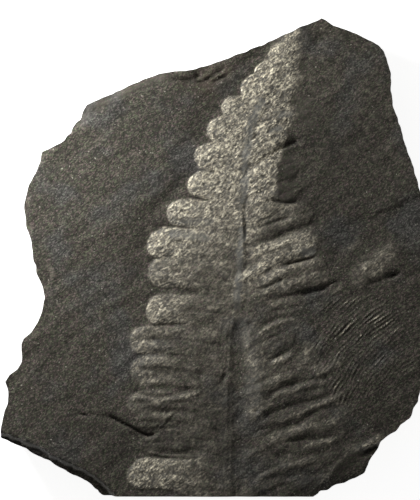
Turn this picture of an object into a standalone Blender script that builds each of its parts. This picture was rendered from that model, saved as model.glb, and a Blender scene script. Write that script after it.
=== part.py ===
"""Fossil fern plate at its real size: a hand-sized slab of dark shale, split along its bedding, with the
upper part of one fern frond pressed in low relief on the face that lies up.

The slab is one stone, so it is one solid. It starts as the slab's outline, extruded to its thickness and
sliced into cells. The points of those cells are then moved to the stone's real surface: the rachis and
pinnules of the frond, the ledges and chips of the broken edges, the layered sides, and the cleaved back.

Frame: the fern face is read from above, with +X to the right, +Y to the frond's tip and +Z up out of that
face. The origin is under the middle of the slab, on the plane that it rests on. The lengths below are in
millimetres, and MM turns them into Blender's metres.
"""

import bmesh
import bpy
import numpy as np
from mathutils import Vector, noise

MM = 0.001

# The slab ------------------------------------------------------------------------------------------------
THICKNESS = 14.0
FALL_TO_RIGHT = 0.018  # the bedding falls this much for each millimetre to the right
RISE_TO_TIP = 0.010  # and rises this much for each millimetre towards the frond's tip
SWELL = 0.28  # height of the broad waves in the bedding
SWELL_LENGTH = 21.0
RIPPLE = 0.12  # height of the fine, slanting waves in the bedding
RIPPLE_LENGTH = 5.5
RIPPLE_SLANT = np.radians(22.0)

# The silhouette, clockwise from the point at the top, with the sawn edge along the bottom.
OUTLINE = [
    (24.2, 54.0), (26.7, 52.7), (29.4, 51.4), (32.1, 50.4), (37.1, 48.1), (38.2, 46.5), (39.1, 44.2),
    (40.0, 41.5), (39.9, 37.7), (40.4, 34.6), (42.5, 28.3), (43.6, 24.2), (45.4, 19.3), (46.3, 16.1),
    (47.4, 11.4), (48.1, 5.1), (48.4, -2.8), (48.3, -10.7), (47.9, -18.5), (47.4, -25.3), (46.7, -29.8),
    (46.0, -32.7), (45.1, -34.1), (44.2, -36.4), (42.4, -37.8), (41.1, -39.2), (37.6, -41.5),
    (37.0, -43.1), (35.0, -46.3), (34.0, -48.5), (31.7, -50.0), (29.5, -50.8), (27.7, -51.2),
    (25.6, -52.5), (24.1, -52.7), (22.3, -53.9), (-1.0, -54.0), (-25.2, -53.8), (-26.7, -52.6),
    (-28.9, -50.7), (-33.1, -48.6), (-37.8, -46.0), (-41.4, -44.2), (-44.0, -42.7), (-48.4, -40.8),
    (-47.9, -37.0), (-46.5, -32.5), (-46.5, -30.2), (-47.1, -28.0), (-46.1, -26.4), (-44.4, -25.2),
    (-43.5, -23.7), (-43.5, -19.4), (-42.9, -18.2), (-41.2, -16.8), (-39.9, -14.7), (-38.8, -12.2),
    (-38.3, -9.1), (-38.8, -6.5), (-39.9, -3.9), (-40.6, -1.0), (-41.8, 5.5), (-42.6, 7.8),
    (-42.8, 11.2), (-42.5, 14.1), (-41.7, 16.3), (-40.4, 18.9), (-39.1, 22.1), (-38.9, 23.7),
    (-37.1, 24.6), (-33.8, 26.5), (-32.2, 28.3), (-31.8, 29.5), (-30.3, 31.4), (-29.4, 33.7),
    (-28.9, 34.5), (-25.9, 35.8), (-20.3, 38.3), (-15.8, 40.4), (-11.8, 41.7), (-6.8, 42.1),
    (-4.3, 42.6), (-0.5, 43.7), (6.7, 46.4), (10.5, 47.8), (16.8, 50.7), (21.5, 52.8), (23.1, 53.5),
]

# The broken edges ----------------------------------------------------------------------------------------
# Each falls away on the left of its line. A line is followed by its drop and the run of its slope.
BEVEL_TOP_LEFT = [
    (-31.4, 28.5), (-28.6, 30.0), (-27.1, 31.4), (-27.0, 33.2), (-23.5, 34.2), (-20.1, 35.9), (-16.7, 37.7),
    (-14.0, 38.7), (-12.2, 39.3), (-10.5, 41.9),
]
BEVEL_BOTTOM_LEFT = [
    (-21.3, -54.5), (-25.1, -50.3), (-28.2, -48.2), (-32.0, -46.4), (-35.7, -44.8), (-39.3, -42.4),
    (-44.0, -40.6), (-49.0, -38.6),
]
SHELF_BOTTOM_RIGHT = [
    (38.2, -41.1), (33.5, -43.1), (30.3, -44.0), (27.8, -46.1), (26.0, -48.5), (23.8, -50.9), (21.6, -54.6),
]
FLAKE_RIGHT = [(47.5, 14.7), (42.9, 13.2), (40.9, 11.6), (37.5, 10.7), (35.9, 9.4), (33.2, 9.3), (27.0, 7.6)]
FLAKE_DROP = 0.25
FLAKE_REACH = 11.0  # how far from its line the face has risen back to its level
FALLS = [
    (BEVEL_TOP_LEFT, 0.8, 2.3),
    (BEVEL_BOTTOM_LEFT, 3.4, 1.3),
    (SHELF_BOTTOM_RIGHT, 0.35, 2.4),
]
CRACK = [(-30.9, -35.4), (-24.1, -35.7), (-20.5, -36.8), (-17.7, -38.8), (-14.8, -40.1), (-13.1, -39.6)]
CRACK_DEPTH = 0.7
CRACK_HALF_WIDTH = 0.55

# The broken lump beside the frond, a scrap of another plant.
LUMP_CENTRE = (35.6, -2.2)
LUMP_REACH = (8.6, 3.8)
LUMP_SLANT = np.radians(38.0)
LUMP_RISE = 0.4

# The frond -----------------------------------------------------------------------------------------------
RACHIS = [
    (4.4, -55.7), (4.3, -41.0), (4.2, -32.0), (4.0, -23.0), (4.3, -17.0), (5.3, -10.0), (6.1, -3.0),
    (6.7, 3.0), (6.8, 9.6), (6.9, 17.5), (7.0, 24.2), (7.6, 28.7), (8.9, 32.5), (10.7, 35.9), (12.5, 40.0),
    (14.6, 43.6), (17.0, 47.4), (19.3, 50.5),
]
# Along the rachis: Y, the trough's depth, and half its width. Its right side rises over a longer run.
TROUGH_AT = [(-54.0, 0.42, 1.3), (-16.0, 0.40, 1.2), (-6.0, 0.10, 1.0), (54.0, 0.0, 0.7)]
TROUGH_RUN_LEFT = 1.6
TROUGH_RUN_RIGHT = 2.6

# Each pinnule: its root on the rachis, its tip, its width, and how high it stands.
PINNULES_LEFT = [
    ((18.4, 48.2), (15.6, 49.2), 6.0, 0.25),
    ((16.2, 44.7), (12.0, 46.0), 6.4, 0.40),
    ((14.2, 40.6), (9.0, 42.3), 6.4, 0.50),
    ((12.2, 36.8), (5.9, 38.9), 6.2, 0.60),
    ((10.1, 31.6), (1.7, 34.4), 6.3, 0.60),
    ((8.1, 26.2), (-1.6, 29.4), 6.8, 0.65),
    ((7.2, 19.9), (-4.4, 23.3), 7.0, 0.65),
    ((6.9, 13.2), (-6.0, 17.0), 6.8, 0.65),
    ((6.6, 6.9), (-10.8, 10.2), 6.6, 0.60),
    ((6.5, 0.6), (-15.2, 3.0), 7.4, 0.58),
    ((6.3, -6.6), (-15.1, -3.3), 7.4, 0.50),
    ((5.9, -14.3), (-15.6, -11.8), 7.2, 0.45),
    ((5.4, -21.0), (-19.2, -18.9), 7.0, 0.32),
    ((5.0, -28.5), (-19.0, -25.3), 7.0, 0.25),
    ((4.7, -35.0), (-19.6, -32.9), 5.8, 0.28),
    ((4.5, -40.4), (-18.1, -37.0), 5.4, 0.22),
    ((4.3, -46.2), (-16.7, -41.7), 6.2, 0.18),
    ((4.3, -52.1), (-19.7, -48.7), 7.4, 0.45),
]
PINNULES_RIGHT = [
    ((17.1, 45.1), (19.4, 46.9), 5.4, 0.3),
    ((15.1, 39.3), (19.4, 41.7), 5.9, 0.35),
    ((12.2, 34.3), (17.8, 36.8), 5.0, 0.42),
    ((9.5, 28.9), (18.0, 33.4), 5.4, 0.45),
    ((7.7, 23.1), (17.6, 28.5), 5.6, 0.7),
    ((7.2, 15.4), (18.9, 21.9), 7.4, 0.65),
    ((7.2, 9.1), (19.6, 15.9), 6.6, 0.7),
    ((7.2, 3.7), (22.1, 10.5), 5.0, 0.4),
    ((7.0, -3.4), (23.2, 3.2), 5.8, 0.42),
    ((6.8, -8.7), (26.1, -3.0), 7.2, 0.45),
    ((6.5, -14.7), (23.9, -10.5), 5.4, 0.2),
    ((6.5, -22.4), (19.8, -15.2), 8.1, 0.28),
    ((6.8, -30.0), (25.2, -23.7), 7.2, 0.3),
    ((7.2, -35.4), (26.8, -29.1), 5.2, 0.2),
    ((7.2, -40.8), (30.2, -33.4), 5.4, 0.22),
    ((7.2, -45.8), (29.5, -39.0), 5.4, 0.22),
    ((7.2, -50.5), (28.8, -43.5), 5.0, 0.22),
    ((7.2, -55.7), (26.6, -48.5), 5.9, 0.25),
]
ARCH = 0.055  # a pinnule bows towards the frond's tip by this share of its length
MERGING = {-1: 1.0, 1: 0.35}  # how much wider the pinnules grow at the rachis, on the left and on the right
FURROW_DEPTH = 0.10
FURROW_HALF_WIDTH = 0.4
WEB_RISE = 0.35  # the lamina that joins the pinnules along the rachis
WEB_REACH = 5.0
TIP_FALL_RIGHT = 0.55  # the pinnules on the right dip this share of their height towards the tip

# The stone falls into a shallow hollow round the frond's upper part: its left margin, and the hollow's depth
# and run.
LEFT_MARGIN = [
    (-20.5, -56.0), (-19.7, -48.7), (-17.6, -41.7), (-19.6, -32.9), (-19.0, -25.5), (-19.2, -18.8),
    (-15.6, -11.6), (-15.1, -3.5), (-15.2, 3.3), (-10.9, 10.5), (-6.0, 17.2), (-4.4, 23.5), (-1.6, 29.6),
    (2.0, 35.2), (6.0, 38.8), (8.5, 42.0), (12.1, 45.8), (18.0, 54.0),
]
HOLLOW_DEPTH = 0.5
HOLLOW_RUN = 6.5

# The sides and the back ----------------------------------------------------------------------------------
PARTINGS = [0.15, 0.31, 0.46, 0.63, 0.80]  # where one bed gives way to the next, as shares of the thickness
PARTING_GAP = 0.016  # the share of the thickness over which it does
BED_STEP = 0.9  # how far one bed stands in from the next
BED_LENGTH = 11.0
SIDE_BATTER = 1.4  # how far the sides lean in from the fern face to the back
INSET_FADE = 8.0  # how far in from the outline the back's points still move with the sides
BACK_LEDGE = 1.2  # height of the ledges that the cleaved back steps up by near its edges
BACK_LEDGE_RUN = 1.0
BACK_LEDGE_LINES = [
    [(-33.0, -60.0), (-38.0, -30.0), (-31.0, -14.0), (-35.0, 4.0), (-31.0, 22.0), (-33.0, 60.0)],
    [(-40.0, 36.0), (-8.0, 33.0), (14.0, 38.5), (30.0, 33.0), (60.0, 36.0)],
    [(60.0, 24.0), (38.0, 10.0), (41.5, -12.0), (36.0, -34.0), (41.0, -60.0)],
]

# The cells that the blank is cut into, and the triangles that are kept of them.
CELL = 1.0
KEPT_TRIANGLES = 9600


def smoothstep(share):
    """0 to 1 with a level start and end."""
    share = np.clip(share, 0.0, 1.0)
    return share * share * (3.0 - 2.0 * share)


def unevenness(x, y, length, layer):
    """Smooth lumps and dips from about -1 to 1, of about this length. Each layer has its own."""
    return np.array([noise.noise(Vector((a / length, b / length, layer))) for a, b in zip(x, y)])


def beside(path, x, y):
    """How far each point lies to the left of a path, in its direction. It is negative on the right."""
    nearest = np.full(x.shape, np.inf)
    sideways = np.zeros(x.shape)
    for (x0, y0), (x1, y1) in zip(path, path[1:]):
        run, rise = x1 - x0, y1 - y0
        share = np.clip(((x - x0) * run + (y - y0) * rise) / (run * run + rise * rise), 0.0, 1.0)
        away = np.hypot(x - x0 - share * run, y - y0 - share * rise)
        left = run * (y - y0) - rise * (x - x0) > 0
        closer = away < nearest
        nearest = np.where(closer, away, nearest)
        sideways = np.where(closer, np.where(left, away, -away), sideways)
    return sideways


def pinnule(root, tip, width, rise, side, x, y):
    """How high one pinnule stands: a tongue with a round tip, vaulted on both sides of its furrow."""
    run, climb = tip[0] - root[0], tip[1] - root[1]
    length = np.hypot(run, climb)
    share = ((x - root[0]) * run + (y - root[1]) * climb) / length**2
    across = ((y - root[1]) * run - (x - root[0]) * climb) / length
    across = across - side * ARCH * length * 4 * share * (1 - share)
    rounding = width / 2 / length
    half = width / 2 * (1 + MERGING[side] * smoothstep(1 - share / 0.6))
    out = np.hypot(across / half, np.clip((share - 1 + rounding) / rounding, 0.0, None))
    body = np.clip(1 - out**2, 0.0, None) ** 0.85
    at_root = np.interp(tip[1], [-10.0, 15.0], [0.5, 0.95])
    body = body * smoothstep(1 + share / 0.05) * (at_root + (1 - at_root) * smoothstep(share / 0.3))
    if side > 0:
        body = body * (1 - TIP_FALL_RIGHT * smoothstep((share - 0.45) / 0.5))
    furrow = FURROW_DEPTH * np.exp(-((across / FURROW_HALF_WIDTH) ** 2)) * smoothstep((1 - out) / 0.35)
    return rise * body - furrow * (body > 0)


def frond(x, y):
    """The frond's relief: pinnules, the lamina that joins them, and the rachis, which is a trough."""
    from_rachis = beside(RACHIS, x, y)
    web = WEB_RISE * np.interp(y, [10.0, 28.0], [1.0, 1.6])
    height = web * smoothstep(1 - np.abs(from_rachis) / WEB_REACH)
    for side, pinnules in ((-1, PINNULES_LEFT), (1, PINNULES_RIGHT)):
        for root, tip, width, rise in pinnules:
            height = np.maximum(height, pinnule(root, tip, width, rise, side, x, y))
    at, depth, half_width = zip(*TROUGH_AT)
    half = np.interp(y, at, half_width)
    left_wall = smoothstep((half - from_rachis) / TROUGH_RUN_LEFT)
    right_wall = smoothstep((half + TROUGH_RUN_RIGHT + from_rachis) / TROUGH_RUN_RIGHT)
    return height - np.interp(y, at, depth) * left_wall * right_wall


def lump(x, y):
    """The broken scrap of another plant, a low mound that ends in a scarp on its lower right."""
    dx, dy = x - LUMP_CENTRE[0], y - LUMP_CENTRE[1]
    along = (dx * np.cos(LUMP_SLANT) + dy * np.sin(LUMP_SLANT)) / LUMP_REACH[0]
    across = (dy * np.cos(LUMP_SLANT) - dx * np.sin(LUMP_SLANT)) / LUMP_REACH[1]
    return LUMP_RISE * smoothstep(1.15 - np.hypot(along, across)) * smoothstep((across + 1.0) / 0.4)


def fern_face(x, y):
    """Height of the upper face, with everything that is raised on it or broken from it."""
    slanted = y * np.cos(RIPPLE_SLANT) - x * np.sin(RIPPLE_SLANT)
    height = THICKNESS - FALL_TO_RIGHT * x + RISE_TO_TIP * y
    height = height + SWELL * unevenness(x, y, SWELL_LENGTH, 0.0)
    height = height + RIPPLE * unevenness(x / 3, slanted, RIPPLE_LENGTH, 5.0)
    hollow = HOLLOW_DEPTH * np.interp(y, [-20.0, 0.0], [0.15, 1.0])
    height = height - hollow * smoothstep(1 - beside(LEFT_MARGIN, x, y) / HOLLOW_RUN)
    below_flake = beside(FLAKE_RIGHT, x, y)
    flake = smoothstep(below_flake / 0.6) * smoothstep(1 - below_flake / FLAKE_REACH)
    height = height - FLAKE_DROP * flake * smoothstep((x - 26) / 6)
    height = height + frond(x, y) + lump(x, y)
    height = height - CRACK_DEPTH * smoothstep(1 - np.abs(beside(CRACK, x, y)) / CRACK_HALF_WIDTH)
    for line, drop, run in FALLS:
        height = height - drop * smoothstep(beside(line, x, y) / run)
    return height


def back_face(x, y):
    """Height of the cleaved back: a level plane, with ledges near the edges."""
    height = np.zeros(x.shape)
    for line in BACK_LEDGE_LINES:
        height = height + BACK_LEDGE * smoothstep(beside(line, x, y) / BACK_LEDGE_RUN)
    return height


def slab_blank(name):
    """The outline extruded to the slab's thickness, as one closed mesh standing on the plane z = 0."""
    curve = bpy.data.curves.new(name + "_outline", "CURVE")
    curve.dimensions = "2D"
    curve.fill_mode = "BOTH"
    curve.extrude = THICKNESS * MM / 2
    spline = curve.splines.new("POLY")
    spline.points.add(len(OUTLINE) - 1)
    for point, (x, y) in zip(spline.points, OUTLINE):
        point.co = (x * MM, y * MM, 0.0, 1.0)
    spline.use_cyclic_u = True
    guide = bpy.data.objects.new(name + "_outline", curve)
    bpy.context.scene.collection.objects.link(guide)
    bpy.context.view_layer.update()
    evaluated = guide.evaluated_get(bpy.context.evaluated_depsgraph_get())
    mesh = bpy.data.meshes.new_from_object(evaluated)
    bpy.data.objects.remove(guide)
    mesh.name = name
    bm = bmesh.new()
    bm.from_mesh(mesh)
    bmesh.ops.remove_doubles(bm, verts=bm.verts, dist=0.01 * MM)
    bmesh.ops.dissolve_limit(bm, angle_limit=np.radians(1.0), verts=bm.verts, edges=bm.edges)
    bmesh.ops.recalc_face_normals(bm, faces=bm.faces)
    bmesh.ops.translate(bm, verts=bm.verts, vec=(0.0, 0.0, THICKNESS * MM / 2))
    return mesh, bm


def slice_blank(bm):
    """Cuts the whole blank at the partings of its beds, and then into cells along X and Y."""
    partings = [(share + gap) * THICKNESS for share in PARTINGS for gap in (0.0, PARTING_GAP)]
    stations = [(2, partings), (0, np.arange(-48.0, 48.0, CELL)), (1, np.arange(-53.7, 53.7, CELL))]
    for axis, places in stations:
        normal = Vector([float(i == axis) for i in range(3)])
        for place in places:
            everything = [*bm.verts, *bm.edges, *bm.faces]
            bmesh.ops.bisect_plane(
                bm, geom=everything, dist=0.02 * MM, plane_co=normal * place * MM, plane_no=normal
            )


def side_inset(x, y, level):
    """How far the sides stand in from the outline. Each bed is broken to its own ragged line."""
    bed = np.sum([level > share + PARTING_GAP / 2 for share in PARTINGS], axis=0)
    ragged = np.array([
        noise.noise(Vector((a / BED_LENGTH, b / BED_LENGTH, 3.7 * layer))) for a, b, layer in zip(x, y, bed)
    ])
    inset = np.clip(SIDE_BATTER * (1 - level) + BED_STEP * (0.5 + ragged), 0.05, None)
    inside = np.abs(beside([*OUTLINE, OUTLINE[0]], x, y))
    return np.where(level > 0.99, 0.0, inset * smoothstep(1 - inside / INSET_FADE))


def shape_stone(bm):
    """Moves the points of the sliced blank to the stone's surface. The insets run towards its middle."""
    x, y, z = np.array([vert.co for vert in bm.verts]).T / MM
    level = z / THICKNESS
    low, high = back_face(x, y), fern_face(x, y)
    kept = 1 - side_inset(x, y, level) / np.maximum(np.hypot(x, y), 1.0)
    for vert, point in zip(bm.verts, np.stack([x * kept, y * kept, low + (high - low) * level], axis=1)):
        vert.co = point * MM


def stone_material():
    """Dark grey shale, nearly matt."""
    material = bpy.data.materials.new("shale")
    material.use_nodes = True
    shader = material.node_tree.nodes["Principled BSDF"]
    shader.inputs["Base Color"].default_value = (0.062, 0.058, 0.050, 1.0)
    shader.inputs["Roughness"].default_value = 0.72
    shader.inputs["Metallic"].default_value = 0.0
    return material


def build_slab(collection):
    """The fossil plate, as one solid."""
    mesh, bm = slab_blank("shale_slab")
    slice_blank(bm)
    shape_stone(bm)
    bmesh.ops.triangulate(bm, faces=bm.faces)
    bmesh.ops.recalc_face_normals(bm, faces=bm.faces)
    triangles = len(bm.faces)
    bm.to_mesh(mesh)
    bm.free()
    slab = bpy.data.objects.new("shale_slab", mesh)
    collection.objects.link(slab)
    mesh.materials.clear()
    mesh.materials.append(stone_material())
    fewer = slab.modifiers.new("fewer triangles on the flat stretches", "DECIMATE")
    fewer.ratio = KEPT_TRIANGLES / triangles
    return slab


def main():
    for old in list(bpy.data.objects):
        bpy.data.objects.remove(old)
    collection = bpy.data.collections.new("fossil_fern_plate")
    bpy.context.scene.collection.children.link(collection)
    build_slab(collection)


main()
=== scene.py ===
"""The fossil fern plate's looks: the slab of shale as one fine mesh with its finishes, and a studio.

The packed slab gives the size and the place. The fine mesh stands for it, and repeats its forms in more
detail: the frond's pinnules and rachis, the leaf with parallel veins beside it, the cracks, the flakes and
the broken edges.

Coordinates on the slab are in millimetres, with the origin under its middle, +X to the right, +Y to the
frond's tip and +Z up. Sizes that a user may change are in the property groups. Places are named lists. They
started as points picked on the photo. Scratch scripts turned most of them into millimetres, and also thinned
and scaled the ridges and clefts. The outline and some patches follow measurements of the photo.
"""

from types import SimpleNamespace

import bpy
import numpy as np
from bpy.props import FloatProperty, FloatVectorProperty, PointerProperty
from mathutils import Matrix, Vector, noise
from mathutils.geometry import delaunay_2d_cdt


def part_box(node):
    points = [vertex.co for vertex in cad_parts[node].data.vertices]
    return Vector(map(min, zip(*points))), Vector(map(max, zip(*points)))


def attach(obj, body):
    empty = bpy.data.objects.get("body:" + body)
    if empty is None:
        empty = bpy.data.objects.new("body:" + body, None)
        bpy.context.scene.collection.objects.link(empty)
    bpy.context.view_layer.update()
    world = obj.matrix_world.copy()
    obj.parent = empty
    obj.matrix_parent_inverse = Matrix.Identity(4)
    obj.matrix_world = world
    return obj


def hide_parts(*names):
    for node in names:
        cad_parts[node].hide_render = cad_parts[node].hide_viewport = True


bl_info = {
    "name": "Fossil Fern Plate",
    "version": (1, 0, 0),
    "blender": (4, 5, 0),
    "location": "View3D > Sidebar > Fossil",
    "description": "Builds a slab of shale with a fern frond pressed in low relief",
    "category": "Add Mesh",
}

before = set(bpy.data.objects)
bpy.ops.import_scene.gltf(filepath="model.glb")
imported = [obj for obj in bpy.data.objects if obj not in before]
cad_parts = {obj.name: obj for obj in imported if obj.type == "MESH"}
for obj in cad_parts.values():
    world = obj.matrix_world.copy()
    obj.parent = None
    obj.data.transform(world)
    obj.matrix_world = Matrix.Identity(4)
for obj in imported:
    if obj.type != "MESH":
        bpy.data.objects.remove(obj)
SLAB_NODE = "shale_slab"
SLAB_LOW, SLAB_HIGH = (Vector(corner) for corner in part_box(SLAB_NODE))
MM = 0.001
SEED = 7

# Directions, turned anticlockwise from +X.
BEDDING_SLANT = np.radians(36.0)  # the waves in the bedding and the stone's coarse grain
GRAIN_SLANT = np.radians(40.0)  # the folds and the grains of the film, and the stone's fine grain
LUMP_SLANT = np.radians(38.0)
STREAK_SLANT_LEFT, STREAK_SLANT_RIGHT = np.radians([-6.0, 32.0])  # on each half of the frond

FALL_TO_RIGHT, RISE_TO_TIP = 0.018, 0.010  # the slope of the fern face: millimetres for each millimetre
FINE_WOBBLE, FINE_WOBBLE_LENGTH = 0.12, 0.9  # the smallest straying of the pinnules' margins
RIPPLE_FLATTENED = 0.6  # the share of the bedding's waves that the film hides
FILM_LEFT, FILM_RIGHT = 0.24, 0.16  # the least film on the left and on the right half of the frond
FILM_ON_LUMP, FILM_ON_VEINS = 0.40, 0.7
FILM_LOST = 0.88  # the share of the film that is gone beyond its right edge at the frond's tip
FOLDS_SMOOTHED = 0.8  # the share of the folds that is gone where the film lies smooth

SHARP_ANGLE = np.radians(42.0)  # faces that meet at a larger angle have a sharp edge
SIDE_ROWS = 4  # rows of points on the broken side of each bed
CLOSEST = 1e-7  # points that are closer to each other than this would be merged
INSIDE_ONLY = 1  # the kind of triangulation that keeps to the inside of its ring
FLOOR_GAP = 0.05  # the floor lies this far under the slab, so that no two faces share a plane


# Places on the slab, in millimetres ----------------------------------------------------------------------

# The silhouette, clockwise from the point at the top, with the nearly straight edge along the bottom.
OUTLINE = [
    (24.2, 54.0), (25.4, 53.5), (26.7, 52.7), (29.4, 51.4), (32.1, 50.4), (34.6, 49.3), (37.1, 48.1),
    (38.2, 46.5), (39.1, 44.2), (40.0, 41.5), (39.9, 37.7), (40.4, 34.6), (41.3, 31.9), (42.5, 28.3),
    (43.6, 24.2), (44.5, 22.0), (45.4, 19.3), (46.3, 16.1), (47.4, 11.4), (48.1, 5.1), (48.4, -2.8),
    (48.3, -10.7), (47.9, -18.5), (47.4, -25.3), (46.7, -29.8), (46.0, -32.7), (45.1, -34.1),
    (44.2, -36.4), (42.4, -37.8), (41.1, -39.2), (39.8, -39.9), (37.6, -41.5), (37.0, -43.1),
    (35.0, -46.3), (34.0, -48.5), (31.7, -50.0), (29.5, -50.8), (27.7, -51.2), (25.6, -52.5),
    (24.1, -52.7), (22.3, -53.9), (-25.2, -53.8), (-26.7, -52.6), (-28.9, -50.7),
    (-33.1, -48.6), (-37.8, -46.0), (-41.4, -44.2), (-44.0, -42.7), (-48.4, -40.8), (-47.9, -37.0),
    (-47.2, -34.5), (-46.5, -32.5), (-46.5, -30.2), (-47.1, -28.0), (-46.1, -26.4), (-44.4, -25.2),
    (-43.5, -23.7), (-43.5, -19.4), (-42.9, -18.2), (-41.2, -16.8), (-39.9, -14.7), (-38.8, -12.2),
    (-38.3, -9.1), (-38.8, -6.5), (-39.9, -3.9), (-40.6, -1.0), (-41.1, 2.6), (-41.8, 5.5), (-42.6, 7.8),
    (-42.8, 11.2), (-42.5, 14.1), (-41.7, 16.3), (-40.4, 18.9), (-39.1, 22.1), (-38.9, 23.7),
    (-37.1, 24.6), (-33.8, 26.5), (-32.2, 28.3), (-31.8, 29.5), (-30.3, 31.4), (-29.4, 33.7),
    (-28.9, 34.5), (-25.9, 35.8), (-20.3, 38.3), (-15.8, 40.4), (-11.8, 41.7), (-6.8, 42.1),
    (-4.3, 42.6), (-0.5, 43.7), (2.6, 44.8), (6.7, 46.4), (10.5, 47.8), (13.7, 49.3), (16.8, 50.7),
    (19.3, 52.0), (21.5, 52.8), (23.1, 53.5),
]
STRAIGHT_BELOW = -53.0  # the edge isn't nibbled below this Y

# The broken edges. Each falls away on the left of its line. A line is followed by its drop, its run and how
# dark its slope and foot are painted: painted shade.
BEVEL_TOP_LEFT = [
    (-31.4, 28.5), (-28.6, 30.0), (-27.1, 31.4), (-27.0, 33.2), (-23.5, 34.2), (-20.1, 35.9), (-16.7, 37.7),
    (-14.0, 38.7), (-12.2, 39.3), (-10.5, 41.9),
]
BEVEL_BOTTOM_LEFT = [
    (-21.3, -54.5), (-25.1, -50.3), (-28.2, -48.2), (-32.0, -46.4), (-35.7, -44.8), (-39.3, -42.4),
    (-44.0, -40.6), (-49.0, -38.6),
]
SHELF_BOTTOM_RIGHT = [
    (38.2, -41.1), (33.5, -43.1), (30.3, -44.0), (27.8, -46.1), (26.0, -48.5), (23.8, -50.9), (21.6, -54.6),
]
FALLS = [
    (BEVEL_TOP_LEFT, 0.8, 2.3, 0.0),
    (BEVEL_BOTTOM_LEFT, 3.4, 1.3, 0.85),
    (SHELF_BOTTOM_RIGHT, 0.35, 2.4, 0.0),
]
# The step on the right where a flake has come off: the stone is lower on the left of its line, up to its
# reach, and the step fades out at the line's end.
FLAKE_RIGHT = [(47.5, 14.7), (42.9, 13.2), (40.9, 11.6), (37.5, 10.7), (35.9, 9.4), (33.2, 9.3), (27.0, 7.6)]
FLAKE_DROP, FLAKE_RUN, FLAKE_REACH = 0.25, 0.6, 11.0

# The scrap of another plant beside the frond.
LUMP_CENTRE = (35.6, -2.2)
LUMP_REACH = (8.6, 3.8)
LUMP_RISE = 0.4

RACHIS = [
    (4.4, -55.7), (4.3, -41.0), (4.2, -32.0), (4.0, -23.0), (4.3, -17.0), (5.3, -10.0), (6.1, -3.0),
    (6.7, 3.0), (6.8, 9.6), (6.9, 17.5), (7.0, 24.2), (7.6, 28.7), (8.9, 32.5), (10.7, 35.9), (12.5, 40.0),
    (14.6, 43.6), (17.0, 47.4), (19.3, 50.5),
]
# Along the rachis: Y, the trough's depth, and half its width. Its right side rises over a longer run.
TROUGH_AT = [(-54.0, 0.42, 1.3), (-16.0, 0.40, 1.2), (-6.0, 0.10, 1.0), (54.0, 0.0, 0.7)]
TROUGH_RUN_LEFT = 1.6
TROUGH_RUN_RIGHT = 2.6

# Each pinnule: its root on the rachis, its tip, its width, its height, and how much film is left on it.
PINNULES_LEFT = [
    ((18.4, 48.2), (15.6, 49.2), 6.0, 0.25, 0.7),
    ((16.2, 44.7), (12.0, 46.0), 6.4, 0.40, 1.0),
    ((14.2, 40.6), (9.0, 42.3), 6.4, 0.50, 1.0),
    ((12.2, 36.8), (5.9, 38.9), 6.2, 0.60, 1.0),
    ((10.1, 31.6), (1.7, 34.4), 6.3, 0.60, 0.83),
    ((8.1, 26.2), (-1.6, 29.4), 6.8, 0.65, 0.84),
    ((7.2, 19.9), (-4.4, 23.3), 7.0, 0.65, 0.84),
    ((6.9, 13.2), (-6.0, 17.0), 6.8, 0.65, 0.84),
    ((6.6, 6.9), (-10.8, 10.2), 6.6, 0.60, 0.8),
    ((6.5, 0.6), (-15.2, 3.0), 7.4, 0.58, 0.82),
    ((6.3, -6.6), (-15.1, -3.3), 7.4, 0.50, 0.55),
    ((5.9, -14.3), (-15.6, -11.8), 7.2, 0.38, 0.68),
    ((5.4, -21.0), (-19.2, -18.9), 7.0, 0.32, 0.40),
    ((5.0, -28.5), (-19.0, -25.3), 7.0, 0.25, 0.35),
    ((4.7, -35.0), (-19.6, -32.9), 5.8, 0.28, 0.3),
    ((4.5, -40.4), (-18.1, -37.0), 5.4, 0.22, 0.18),
    ((4.3, -46.2), (-16.7, -41.7), 6.2, 0.18, 0.05),
    ((4.3, -52.1), (-19.7, -48.7), 7.4, 0.45, 0.8),
]
PINNULES_RIGHT = [
    ((17.1, 45.1), (19.4, 46.9), 5.4, 0.3, 0.9),
    ((15.1, 39.3), (19.4, 41.7), 5.9, 0.35, 1.0),
    ((12.2, 34.3), (17.8, 36.8), 5.0, 0.42, 1.0),
    ((9.5, 28.9), (18.0, 33.4), 5.4, 0.45, 1.0),
    ((7.7, 23.1), (17.6, 28.5), 5.6, 0.7, 1.0),
    ((7.2, 15.4), (18.9, 21.9), 7.4, 0.65, 0.9),
    ((7.2, 9.1), (19.6, 15.9), 6.6, 0.7, 0.55),
    ((7.2, 3.7), (22.1, 10.5), 5.0, 0.4, 0.3),
    ((7.0, -3.4), (23.2, 3.2), 5.8, 0.42, 0.6),
    ((6.8, -8.7), (26.1, -3.0), 7.2, 0.45, 0.3),
    ((6.5, -14.7), (23.9, -10.5), 5.4, 0.2, 0.12),
    ((6.5, -22.4), (19.8, -15.2), 8.1, 0.28, 0.25),
    ((6.8, -30.0), (25.2, -23.7), 7.2, 0.3, 0.3),
    ((7.2, -35.4), (26.8, -29.1), 5.2, 0.2, 0.25),
    ((7.2, -40.8), (30.2, -33.4), 5.4, 0.22, 0.25),
    ((7.2, -45.8), (29.5, -39.0), 5.4, 0.22, 0.22),
    ((7.2, -50.5), (28.8, -43.5), 5.0, 0.22, 0.18),
    ((7.2, -55.7), (26.6, -48.5), 5.9, 0.25, 0.15),
]
ARCH = 0.055  # a pinnule bows towards the frond's tip by this share of its length
TIP_FALL_RIGHT = 0.55  # the pinnules on the right dip this share of their height towards the tip
MERGING = {-1: 1.0, 1: 0.35}  # how much wider the pinnules grow at the rachis, on the left and on the right

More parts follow.
